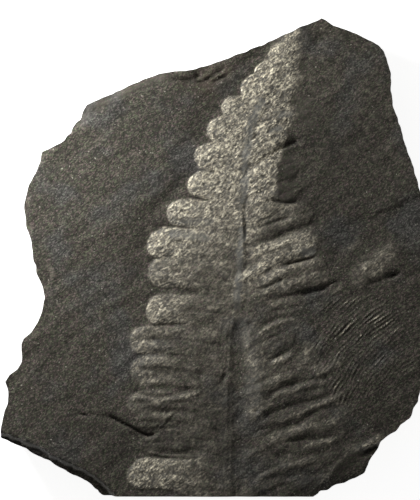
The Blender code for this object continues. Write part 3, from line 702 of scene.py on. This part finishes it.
def break_edges(height, dirt, x, y, stone):
    """Height and painted shade once the edges have broken away, and how bare each point is."""
    broken = np.zeros(x.shape)
    for line, drop, run, foot_shade in FALLS:
        ragged = beside(line, x, y) + 0.35 * unevenness(x, y, 1.4, 37.0)
        height = height - drop * smoothstep(ragged / run)
        broken = np.maximum(broken, smoothstep(ragged / 0.5))
        # Painted shade on the slope of each fall and at its foot.
        on_slope = foot_shade * smoothstep(0.5 + ragged / 0.8) * smoothstep((run + 0.7 - ragged) / 0.8)
        dirt = np.maximum(dirt, on_slope)
    rim = inside(OUTLINE, x, y)
    chips = smoothstep(unevenness(x, y, 4.0, 41.0) * 2.2 - 0.25)
    height = height - stone.chip * chips * smoothstep(1 - rim / 1.6)
    broken = np.maximum(broken, chips * smoothstep(1 - rim / 1.2))
    return height, dirt, broken


def fern_face(x, y, stone, sizes):
    """Height of the upper face at each point, and its masks: what lies on it, and where shade is painted."""
    height, ripple = bedding(x, y, stone)
    stray = strayed(x, y, sizes)
    relief, film = frond(x, y, *stray, sizes)
    film = np.minimum(film + patches(FILM_PATCHES, x, y) * smoothstep(relief / 0.15), 1.0)
    film = up_to_edge(film, x, y, *stray)
    height = height + ripple * (1 - RIPPLE_FLATTENED * film)
    mound = lump(x, y)
    film = np.maximum(film, FILM_ON_LUMP * mound)
    height = height + relief + LUMP_RISE * mound
    vein = veins(x, y, sizes)
    height = height + sizes.vein_height * vein
    # Paler film on the veins' crests: partly film, partly a painted highlight.
    film = np.maximum(film, FILM_ON_VEINS * np.clip(vein, 0.0, 1.0))
    smooth = smoothness(x, y, *stray)
    folds = np.clip(film * 1.2, 0.15, 1.0) * (1 - FOLDS_SMOOTHED * smooth)
    height = height + sizes.crumple * crumple(x, y, sizes) * folds
    dirt = patches(DARK_PATCHES, *stray)
    near = less_strayed(x, y, *stray)
    for path, depth, half_width in CLEFTS:
        line = drawn(path, half_width, *near)
        height = height - depth * line
        # Each cleft is also painted darker along its line: painted shade in the crease.
        dirt = np.maximum(dirt, line * min(1.0, depth / 0.6))
    for path in FLAKES:
        into = beside(path, x, y)
        height = height - SCAR_DROP * smoothstep(into / SCAR_RUN) * smoothstep(1 - into / SCAR_REACH)
    height, dirt, broken = break_edges(height, dirt, x, y, stone)
    rust = patches(RUST_PATCHES, x, y)
    return height, {"film": film, "smooth": smooth, "dirt": dirt, "rust": rust, "broken": broken}


def back_face(x, y, stone):
    """Height of the cleaved back: a level plane, with ledges near the edges."""
    height = np.zeros(x.shape)
    for line in BACK_LEDGE_LINES:
        height = height + stone.back_ledge * smoothstep(beside(line, x, y) / stone.back_ledge_run)
    return height


def side_inset(x, y, level, stone):
    """How far the sides stand in from the outline. Each bed is broken to its own ragged line."""
    bed = sum(level > parting + PARTING_GAP / 2 for parting in PARTINGS)
    ragged = unevenness(x, y, stone.bed_length, 3.7 * bed)
    splinters = np.abs(unevenness(x, y, 1.3, 40.0 + 12.0 * level))
    inset = stone.batter * (1 - level) + stone.bed_step * (0.5 + ragged) + stone.splinter * splinters
    return np.clip(inset, 0.05, None)


# The mesh ------------------------------------------------------------------------------------------------


def resampled(path, spacing):
    """Evenly spaced points along a closed path."""
    corners = np.array([*path, path[0]])
    steps = np.hypot(*np.diff(corners, axis=0).T)
    at = np.concatenate([[0.0], np.cumsum(steps)])
    places = np.linspace(0.0, at[-1], round(at[-1] / spacing), endpoint=False)
    return np.interp(places, at, corners[:, 0]), np.interp(places, at, corners[:, 1])


def lattice(spacing, random):
    """Points about this far apart over the slab's whole box, in staggered rows, each strayed a little."""
    low, high = SLAB_LOW / MM, SLAB_HIGH / MM
    columns = np.arange(low.x, high.x, spacing)
    rows = np.arange(low.y, high.y, spacing * np.sqrt(0.75))
    x, y = np.meshgrid(columns, rows)
    x = x + spacing / 2 * (np.arange(len(rows)) % 2)[:, None]
    stray = random.uniform(-0.22, 0.22, (2, *x.shape)) * spacing
    return (x + stray[0]).ravel(), (y + stray[1]).ravel()


def needs_fine_points(x, y):
    """True on the frond and on the second leaf."""
    right_half = np.interp(y, [-54.0, -30.0, -5.0, 10.0, 54.0], [25.0, 25.0, 21.0, 16.5, 6.0])
    right_half = np.minimum(right_half, 24.0)
    on_frond = (beside(LEFT_MARGIN, x, y) < 1.0) & (beside(RACHIS, x, y) > -right_half)
    return on_frond | (inside(VEINED_LEAF, x, y) > 0.0)


def face_points(sizes):
    """Points inside the outline of the upper face, closer together where there is more to show."""
    random = np.random.default_rng(SEED)
    kept = []
    for spacing, fine in ((sizes.fine, True), (sizes.plain, False)):
        x, y = lattice(spacing, random)
        wanted = (inside(OUTLINE, x, y) > 0.75 * sizes.rim) & (needs_fine_points(x, y) == fine)
        kept.append(np.stack([x[wanted], y[wanted]], axis=1))
    return np.concatenate(kept)


def filled(ring, inner):
    """Triangles between the points of a clockwise ring and those inside it, as rows of three indices."""
    points = [Vector(point) for point in (*ring, *inner)]
    edges = [(i, (i + 1) % len(ring)) for i in range(len(ring))]
    found, _, faces, *_ = delaunay_2d_cdt(points, edges, [], INSIDE_ONLY, CLOSEST, False)
    if len(found) != len(points):
        raise ValueError("some of the mesh's points coincide")
    faces = np.array(faces)
    # A triangle between three points of the ring fills a bay outside it where they run the wrong way round.
    on_ring = (faces < len(ring)).all(axis=1)
    rises = (faces < np.roll(faces, -1, axis=1)).sum(axis=1)
    return faces[~on_ring | (rises == 1)]


def side_levels():
    """Heights of the rows of points on the sides, as shares of the thickness, from the top down."""
    ends = [1.0, *[end for parting in reversed(PARTINGS) for end in (parting + PARTING_GAP, parting)], 0.0]
    levels = []
    for upper, lower in zip(ends[::2], ends[1::2]):
        levels.extend(np.linspace(upper, lower, SIDE_ROWS))
    return levels[1:]


def nibbled_ring(spacing, stone):
    """Points along the edge of the fern face, which is nibbled inwards here and there."""
    x, y = resampled(OUTLINE, spacing)
    nibble = 0.5 + 0.5 * unevenness(x, y, 1.3, 43.0) + 0.9 * unevenness(x, y, 2.6, 44.0)
    nibble = stone.ragged * np.clip(nibble, 0.0, 1.5) * (y > STRAIGHT_BELOW)
    kept = 1 - nibble / np.hypot(x, y)
    return np.stack([x * kept, y * kept], axis=1)


def side_rows(ring, ring_height, stone):
    """Rows of points down the sides, each drawn in from the ring towards the slab's middle."""
    foot = back_face(*ring.T, stone)
    rows = []
    for level in side_levels():
        inset = side_inset(*ring.T, level, stone)
        inward = ring * (1 - inset / np.hypot(*ring.T))[:, None]
        rows.append(np.column_stack([inward, foot + (ring_height - foot) * level]))
    return rows


def side_faces(starts, count):
    """Four-sided faces between each row of points and the next. The rows start at these indices."""
    around = np.arange(count)
    ahead = (around + 1) % count
    return np.concatenate([
        np.stack([upper + around, upper + ahead, lower + ahead, lower + around], axis=1)
        for upper, lower in zip(starts, starts[1:])
    ])


def slab_mesh(stone, sizes, spacing):
    """The slab's points, faces, masks, and how many of the faces are on the fern face."""
    ring = nibbled_ring(spacing.rim, stone)
    inner = face_points(spacing)
    top = np.concatenate([ring, inner])
    top_height, masks = fern_face(*top.T, stone, sizes)
    top_height = np.minimum(top_height, SLAB_HIGH.z / MM)
    top_faces = filled(ring, inner)

    count = len(ring)
    rows = [np.column_stack([top, top_height]), *side_rows(ring, top_height[:count], stone)]
    starts = [0, *(len(top) + count * i for i in range(len(rows) - 1))]
    sides = side_faces(starts, count)

    base_ring = rows[-1][:, :2]
    x, y = lattice(spacing.back, np.random.default_rng(SEED + 1))
    clear = inside(base_ring, x, y) > 0.6 * spacing.back
    base_inner = np.stack([x[clear], y[clear]], axis=1)
    rows.append(np.column_stack([base_inner, back_face(*base_inner.T, stone)]))
    base_faces = filled(base_ring, base_inner)[:, ::-1] + starts[-1]

    points = np.concatenate(rows)
    faces = [*top_faces.tolist(), *sides.tolist(), *base_faces.tolist()]
    masks = {name: np.concatenate([mask, np.zeros(len(points) - len(mask))]) for name, mask in masks.items()}
    return points, faces, masks, len(top_faces)


def put_in_scene(name, data, place=(0.0, 0.0, 0.0)):
    """A new object of this mesh, lamp or camera."""
    made = bpy.data.objects.new(name, data)
    made.location = place
    bpy.context.scene.collection.objects.link(made)
    return made


def add_slab_object(points, faces, masks, face_count, materials):
    """The slab as a mesh object, with its masks as attributes."""
    mesh = bpy.data.meshes.new("fern_plate")
    mesh.from_pydata((points * MM).tolist(), [], faces)
    for material in materials:
        mesh.materials.append(material)
    slots = np.ones(len(mesh.polygons), dtype=np.int32)
    slots[:face_count] = 0
    mesh.polygons.foreach_set("material_index", slots)
    for name, mask in masks.items():
        mesh.attributes.new(name, "FLOAT", "POINT").data.foreach_set("value", mask)
    mesh.validate()
    mesh.shade_smooth()
    mesh.set_sharp_from_angle(angle=SHARP_ANGLE)
    return put_in_scene("fern_plate", mesh)


# Finishes ------------------------------------------------------------------------------------------------


class Nodes:
    """Adds nodes to a tree, and sets or links their inputs."""

    def __init__(self, tree):
        self.tree = tree

    def feed(self, node, inputs):
        """Links each input of a node to a socket, or sets it to a value."""
        for name, value in inputs.items():
            if isinstance(value, bpy.types.NodeSocket):
                self.tree.links.new(value, node.inputs[name])
            else:
                node.inputs[name].default_value = value
        return node

    def add(self, kind, inputs, **settings):
        made = self.tree.nodes.new(kind)
        for name, value in settings.items():
            setattr(made, name, value)
        return self.feed(made, inputs)

    def group(self, tree, **inputs):
        """The outputs of one of the shared node groups."""
        return self.add("ShaderNodeGroup", inputs, node_tree=tree).outputs

    def maths(self, operation, *values):
        """The result of one step of arithmetic."""
        return self.add("ShaderNodeMath", dict(enumerate(values)), operation=operation).outputs[0]

    def times(self, first, second):
        return self.maths("MULTIPLY", first, second)

    def times_plus(self, value, factor, rest):
        """A value times a factor, and the rest added to that."""
        return self.maths("MULTIPLY_ADD", value, factor, rest)

    def between(self, value, low, high):
        """0 where the value is low, 1 where it is high, and smooth between."""
        inputs = {"Value": value, "From Min": low, "From Max": high}
        return self.add("ShaderNodeMapRange", inputs, interpolation_type="SMOOTHSTEP").outputs["Result"]

    def blend(self, factor, first, second):
        """A mix of two colours: the first at 0, the second at 1."""
        made = self.add("ShaderNodeMix", {0: factor, 6: first, 7: second}, data_type="RGBA")
        return made.outputs[2]

    def darken(self, tone, amount):
        """A colour times a plain number."""
        made = self.add("ShaderNodeVectorMath", {0: tone, "Scale": amount}, operation="SCALE")
        return made.outputs[0]

    def noise(self, place, size, detail, roughness):
        """Soft random clouds of about this size, from 0 to 1."""
        inputs = {"Vector": place, "Scale": 1.0 / size, "Detail": detail, "Roughness": roughness}
        return self.add("ShaderNodeTexNoise", inputs).outputs["Fac"]

    def cells(self, place, size):
        """Little cells of about this size. Each has its own random red, green and blue."""
        inputs = {"Vector": place, "Scale": 1.0 / size}
        cell = self.add("ShaderNodeTexVoronoi", inputs).outputs["Color"]
        return self.add("ShaderNodeSeparateColor", {"Color": cell}).outputs

    def mask(self, name):
        """One of the masks that the mesh carries."""
        return self.add("ShaderNodeAttribute", {}, attribute_name=name).outputs["Fac"]

    def scaled(self, place, factors):
        """Places times a number for each axis."""
        return self.add("ShaderNodeVectorMath", {0: place, 1: factors}, operation="MULTIPLY").outputs[0]

    def along_grain(self, place, stretch):
        """Places turned to the grain's slant and then drawn out along it."""
        inputs = {"Vector": place, "Angle": -GRAIN_SLANT}
        level = self.add("ShaderNodeVectorRotate", inputs, rotation_type="Z_AXIS").outputs[0]
        return self.scaled(level, (1.0 / stretch, 1.0, 1.0))

    def millimetres(self):
        """The place on the slab, in millimetres."""
        place = self.add("ShaderNodeTexCoord", {}).outputs["Object"]
        return self.add("ShaderNodeVectorMath", {0: place, "Scale": 1.0 / MM}, operation="SCALE").outputs[0]


def new_group(name, inputs, outputs):
    """Something to add nodes to a new group with, and the sockets of what comes into the group."""
    group = bpy.data.node_groups.new(name, "ShaderNodeTree")
    for socket, kind in inputs.items():
        group.interface.new_socket(socket, in_out="INPUT", socket_type=kind)
    for socket, kind in outputs.items():
        group.interface.new_socket(socket, in_out="OUTPUT", socket_type=kind)
    nodes = Nodes(group)
    return nodes, nodes.add("NodeGroupInput", {}).outputs


def shale_group(looks):
    """The shale's grain: its colour, its roughness and the height of its finest relief."""
    inputs = {"Place": "NodeSocketVector", "Smooth": "NodeSocketFloat"}
    outputs = {"Colour": "NodeSocketColor", "Roughness": "NodeSocketFloat", "Height": "NodeSocketFloat"}
    nodes, start = new_group("Shale grain", inputs, outputs)
    place = start["Place"]
    rough = nodes.times_plus(start["Smooth"], -0.75, 1.0)
    along = nodes.along_grain(place, 1.7)
    grain = nodes.noise(along, 0.80, 4.0, 0.75)
    cells = nodes.cells(along, 0.21)
    cloud = nodes.noise(place, 13.0, 3.0, 0.55)
    tone = nodes.blend(cells["Green"], (*looks.olive, 1.0), (*looks.umber, 1.0))
    bluer = nodes.times(nodes.between(cloud, 0.50, 0.66), 0.6)
    tone = nodes.blend(bluer, tone, (*looks.slate, 1.0))
    bright = nodes.maths("POWER", cells["Red"], 2.5)
    speckle = nodes.times_plus(nodes.between(grain, 0.30, 0.70), 0.42, -0.76)
    speckle = nodes.times_plus(bright, 1.95, speckle)
    lightness = nodes.times_plus(speckle, rough, 1.07)
    lightness = nodes.times(lightness, nodes.times_plus(cloud, 0.5, 0.75))
    tone = nodes.darken(tone, lightness)
    mica = nodes.between(nodes.cells(place, 0.24)["Blue"], 0.996, 0.999)
    tone = nodes.blend(nodes.times(mica, 0.6), tone, (*looks.mica, 1.0))
    nodes.add("NodeGroupOutput", {
        "Colour": tone,
        "Roughness": nodes.times_plus(mica, -0.35, 0.78),
        "Height": nodes.times(grain, rough),
    })
    return nodes.tree


def broken_group(looks):
    """What broken edges have over the grain of the shale: bands of its beds, and rust."""
    inputs = {"Place": "NodeSocketVector", "Shale": "NodeSocketColor", "Rust": "NodeSocketFloat"}
    outputs = {"Colour": "NodeSocketColor", "Height": "NodeSocketFloat"}
    nodes, start = new_group("Broken edge", inputs, outputs)
    place = start["Place"]
    bands = nodes.noise(nodes.scaled(place, (0.09, 0.09, 1.0)), 0.9, 3.0, 0.6)
    splinters = nodes.noise(place, 0.8, 4.0, 0.65)
    tone = nodes.darken(start["Shale"], nodes.times_plus(nodes.between(bands, 0.3, 0.7), 0.7, 0.7))
    stain = nodes.between(nodes.noise(place, 6.0, 3.0, 0.6), 0.56, 0.72)
    stain = nodes.maths("MAXIMUM", nodes.times(stain, 0.16), start["Rust"])
    tone = nodes.blend(stain, tone, (*looks.rust, 1.0))
    nodes.add("NodeGroupOutput", {"Colour": tone, "Height": nodes.maths("ADD", bands, splinters)})
    return nodes.tree


def film_group(looks):
    """The carbon film: how much it covers, its colour over the shale with painted sheen and painted glints,
    and the height of its grains.
    """
    inputs = {
        "Place": "NodeSocketVector",
        "Film": "NodeSocketFloat",
        "Smooth": "NodeSocketFloat",
        "Shale": "NodeSocketColor",
    }
    outputs = {"Colour": "NodeSocketColor", "Cover": "NodeSocketFloat", "Height": "NodeSocketFloat"}
    nodes, start = new_group("Carbon film", inputs, outputs)
    place, smooth = start["Place"], start["Smooth"]
    along = nodes.along_grain(place, 1.8)
    folds = nodes.between(nodes.noise(along, 1.1, 3.0, 0.75), 0.36, 0.68)
    grains = nodes.between(nodes.noise(along, 0.50, 3.0, 0.75), 0.42, 0.60)
    from_crack = nodes.maths("ABSOLUTE", nodes.maths("SUBTRACT", nodes.noise(along, 3.0, 2.0, 0.6), 0.5))
    crack = nodes.between(from_crack, 0.025, 0.0)
    patchy = nodes.maths("SUBTRACT", nodes.noise(place, 2.6, 3.0, 0.6), 0.5)
    cover = nodes.between(nodes.times_plus(patchy, 0.6, start["Film"]), 0.05, 0.90)
    rough = nodes.times(cover, nodes.times_plus(smooth, -0.85, 1.0))
    cells = nodes.cells(along, 0.30)
    fleck = cells["Red"]
    greyness = nodes.maths("MAXIMUM", smooth, nodes.times(cells["Green"], 0.4))
    tone = nodes.blend(greyness, (*looks.film, 1.0), (*looks.graphite, 1.0))
    tone = nodes.blend(cover, start["Shale"], tone)
    grains = nodes.times(grains, nodes.times_plus(fleck, 1.5, 0.25))
    folded = nodes.times_plus(folds, 0.22, nodes.times(grains, 0.55))
    # Painted sheen: the folds and grains are lightened towards the fold colour.
    tone = nodes.blend(nodes.times(rough, folded), tone, (*looks.fold_and_sheen, 1.0))
    # Painted glints where the folds and the grains are strongest.
    bright = nodes.times(nodes.times(folds, grains), nodes.maths("POWER", rough, 1.5))
    tone = nodes.blend(bright, tone, (*looks.painted_glint, 1.0))
    spread = nodes.maths("POWER", rough, 0.5)
    # Painted sparkles: a few flecks are lightened towards the fold colour.
    painted_sparkles = nodes.times(nodes.between(fleck, 0.60, 0.95), spread)
    tone = nodes.blend(nodes.times(painted_sparkles, 0.32), tone, (*looks.fold_and_sheen, 1.0))
    lightness = nodes.times(nodes.maths("SUBTRACT", fleck, 0.5), 0.7)
    lightness = nodes.times_plus(crack, -0.30, lightness)
    tone = nodes.darken(tone, nodes.times_plus(lightness, spread, 1.0))
    height = nodes.times(nodes.maths("ADD", folds, grains), rough)
    nodes.add("NodeGroupOutput", {"Colour": tone, "Cover": cover, "Height": height})
    return nodes.tree


def new_material(name):
    """A material with only a shader and its output, something to add its nodes with, and the shader."""
    material = bpy.data.materials.new(name)
    material.use_nodes = True
    return material, Nodes(material.node_tree), material.node_tree.nodes["Principled BSDF"]


def bump(nodes, height, distance, below=None):
    """A normal that shows this height, over a normal that shows a coarser one."""
    inputs = {"Height": height, "Distance": distance * MM, "Strength": 1.0}
    if below:
        inputs["Normal"] = below
    return nodes.add("ShaderNodeBump", inputs).outputs["Normal"]


def fern_face_material(groups):
    """The upper face: shale, with carbon film on the frond and bare stone where it is broken."""
    material, nodes, shader = new_material("Fern face")
    place = nodes.millimetres()
    smooth, rust, left_on = nodes.mask("smooth"), nodes.mask("rust"), nodes.mask("film")
    shale = nodes.group(groups["shale"], Place=place, Smooth=smooth)
    edge = nodes.group(groups["broken"], Place=place, Shale=shale["Colour"], Rust=rust)
    film = nodes.group(groups["film"], Place=place, Film=left_on, Smooth=smooth, Shale=shale["Colour"])
    bare = nodes.maths("MAXIMUM", nodes.mask("broken"), rust)
    tone = nodes.blend(bare, film["Colour"], edge["Colour"])
    nodes.feed(shader, {
        # The dirt-and-shade mask darkens the colour: darker stone, and painted shade in clefts, on the
        # bottom-left scarp and under pinnules and bumps.
        "Base Color": nodes.darken(tone, nodes.times_plus(nodes.mask("dirt"), -0.6, 1.0)),
        "Roughness": nodes.times_plus(film["Cover"], -0.28, shale["Roughness"]),
        "Metallic": nodes.times(film["Cover"], 0.35),
        "Specular IOR Level": 0.35,
        "Normal": bump(nodes, film["Height"], 0.07, bump(nodes, shale["Height"], 0.075)),
    })
    return material


def broken_stone_material(groups):
    """The sides and the back: the same shale with its beds cut across."""
    material, nodes, shader = new_material("Broken stone")
    place = nodes.millimetres()
    shale = nodes.group(groups["shale"], Place=place)
    edge = nodes.group(groups["broken"], Place=place, Shale=shale["Colour"])
    nodes.feed(shader, {
        "Base Color": edge["Colour"],
        "Roughness": shale["Roughness"],
        "Specular IOR Level": 0.3,
        "Normal": bump(nodes, edge["Height"], 0.16, bump(nodes, shale["Height"], 0.12)),
    })
    return material


# The studio ----------------------------------------------------------------------------------------------


def floor_material(studio):
    """Pale, matt paper with the faintest unevenness."""
    material, nodes, shader = new_material("Pale floor")
    fibre = nodes.noise(nodes.millimetres(), 40.0, 2.0, 0.5)
    nodes.feed(shader, {
        "Base Color": nodes.darken(tuple(studio.floor_colour), nodes.times_plus(fibre, 0.03, 0.985)),
        "Roughness": 0.9,
        "Specular IOR Level": 0.1,
        "Emission Color": (1.0, 1.0, 1.0, 1.0),
        "Emission Strength": studio.floor_glow,
    })
    return material


def add_floor(studio):
    """A level floor that the slab lies on."""
    half = studio.floor_size / 2
    mesh = bpy.data.meshes.new("floor")
    corners = [(-half, -half, 0.0), (half, -half, 0.0), (half, half, 0.0), (-half, half, 0.0)]
    mesh.from_pydata(corners, [], [(0, 1, 2, 3)])
    mesh.materials.append(floor_material(studio))
    return put_in_scene("floor", mesh, (0.0, 0.0, -FLOOR_GAP * MM))


def add_lights(studio):
    """One soft lamp from the upper left, and even light from all round."""
    lamp = bpy.data.lights.new("Lamp", "AREA")
    lamp.shape = "DISK"
    lamp.size = studio.lamp_size
    lamp.energy = studio.lamp_power
    holder = put_in_scene("Lamp", lamp, (studio.lamp_x, studio.lamp_y, studio.lamp_z))
    holder.rotation_euler = (-holder.location).to_track_quat("-Z", "Y").to_euler()
    holder.visible_camera = False
    world = bpy.data.worlds.new("Fill light")
    world.use_nodes = True
    background = world.node_tree.nodes["Background"]
    background.inputs["Color"].default_value = (1.0, 1.0, 1.0, 1.0)
    background.inputs["Strength"].default_value = studio.fill
    bpy.context.scene.world = world


def add_camera(studio, face_height):
    """A camera that looks straight down on the fern face."""
    camera = bpy.data.cameras.new("Camera")
    camera.sensor_width = 36.0
    camera.lens = camera.sensor_width * studio.camera_height / studio.view_height
    camera.clip_start = 0.01
    place = (studio.view_x, studio.view_y, face_height + studio.camera_height)
    bpy.context.scene.camera = put_in_scene("Camera", camera, place)


# The add-on ----------------------------------------------------------------------------------------------


class FOSSIL_OT_slab(bpy.types.Operator):
    """Add the fossil fern plate in place of the packed slab"""

    bl_idname = "fossil.slab"
    bl_label = "Fern Plate"

    def execute(self, context):
        scene = context.scene
        stone, sizes = millimetres(scene.fossil_stone), millimetres(scene.fossil_frond)
        made = slab_mesh(stone, sizes, millimetres(scene.fossil_mesh))
        looks = scene.fossil_looks
        groups = {"shale": shale_group(looks), "broken": broken_group(looks), "film": film_group(looks)}
        materials = [fern_face_material(groups), broken_stone_material(groups)]
        slab = add_slab_object(*made, materials)
        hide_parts(SLAB_NODE)
        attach(slab, "root")
        return {"FINISHED"}


class FOSSIL_OT_stage(bpy.types.Operator):
    """Add the floor, the lights and the camera"""

    bl_idname = "fossil.stage"
    bl_label = "Studio"

    def execute(self, context):
        studio = context.scene.fossil_studio
        add_floor(studio)
        add_lights(studio)
        add_camera(studio, context.scene.fossil_stone.thickness)
        context.scene.view_settings.view_transform = "Standard"
        return {"FINISHED"}


class FOSSIL_PT_panel(bpy.types.Panel):
    """Buttons and sizes in the sidebar of the 3D view"""

    bl_label = "Fossil Fern Plate"
    bl_space_type = "VIEW_3D"
    bl_region_type = "UI"
    bl_category = "Fossil"

    def draw(self, context):
        self.layout.operator(FOSSIL_OT_slab.bl_idname)
        self.layout.operator(FOSSIL_OT_stage.bl_idname)
        for name, group in GROUPS.items():
            box = self.layout.box()
            box.label(text=group.__doc__)
            for field in group.__annotations__:
                box.prop(getattr(context.scene, name), field)


CLASSES = (*GROUPS.values(), FOSSIL_OT_slab, FOSSIL_OT_stage, FOSSIL_PT_panel)


def register():
    for made in CLASSES:
        bpy.utils.register_class(made)
    for name, group in GROUPS.items():
        setattr(bpy.types.Scene, name, PointerProperty(type=group))


def unregister():
    for name in GROUPS:
        delattr(bpy.types.Scene, name)
    for made in reversed(CLASSES):
        bpy.utils.unregister_class(made)


def plain(bounds):
    """A box's corners as plain lists."""
    return [list(map(float, corner)) for corner in bounds]


def main():
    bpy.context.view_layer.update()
    register()
    bpy.ops.fossil.slab()
    bpy.ops.fossil.stage()


if __name__ == "__main__":
    main()
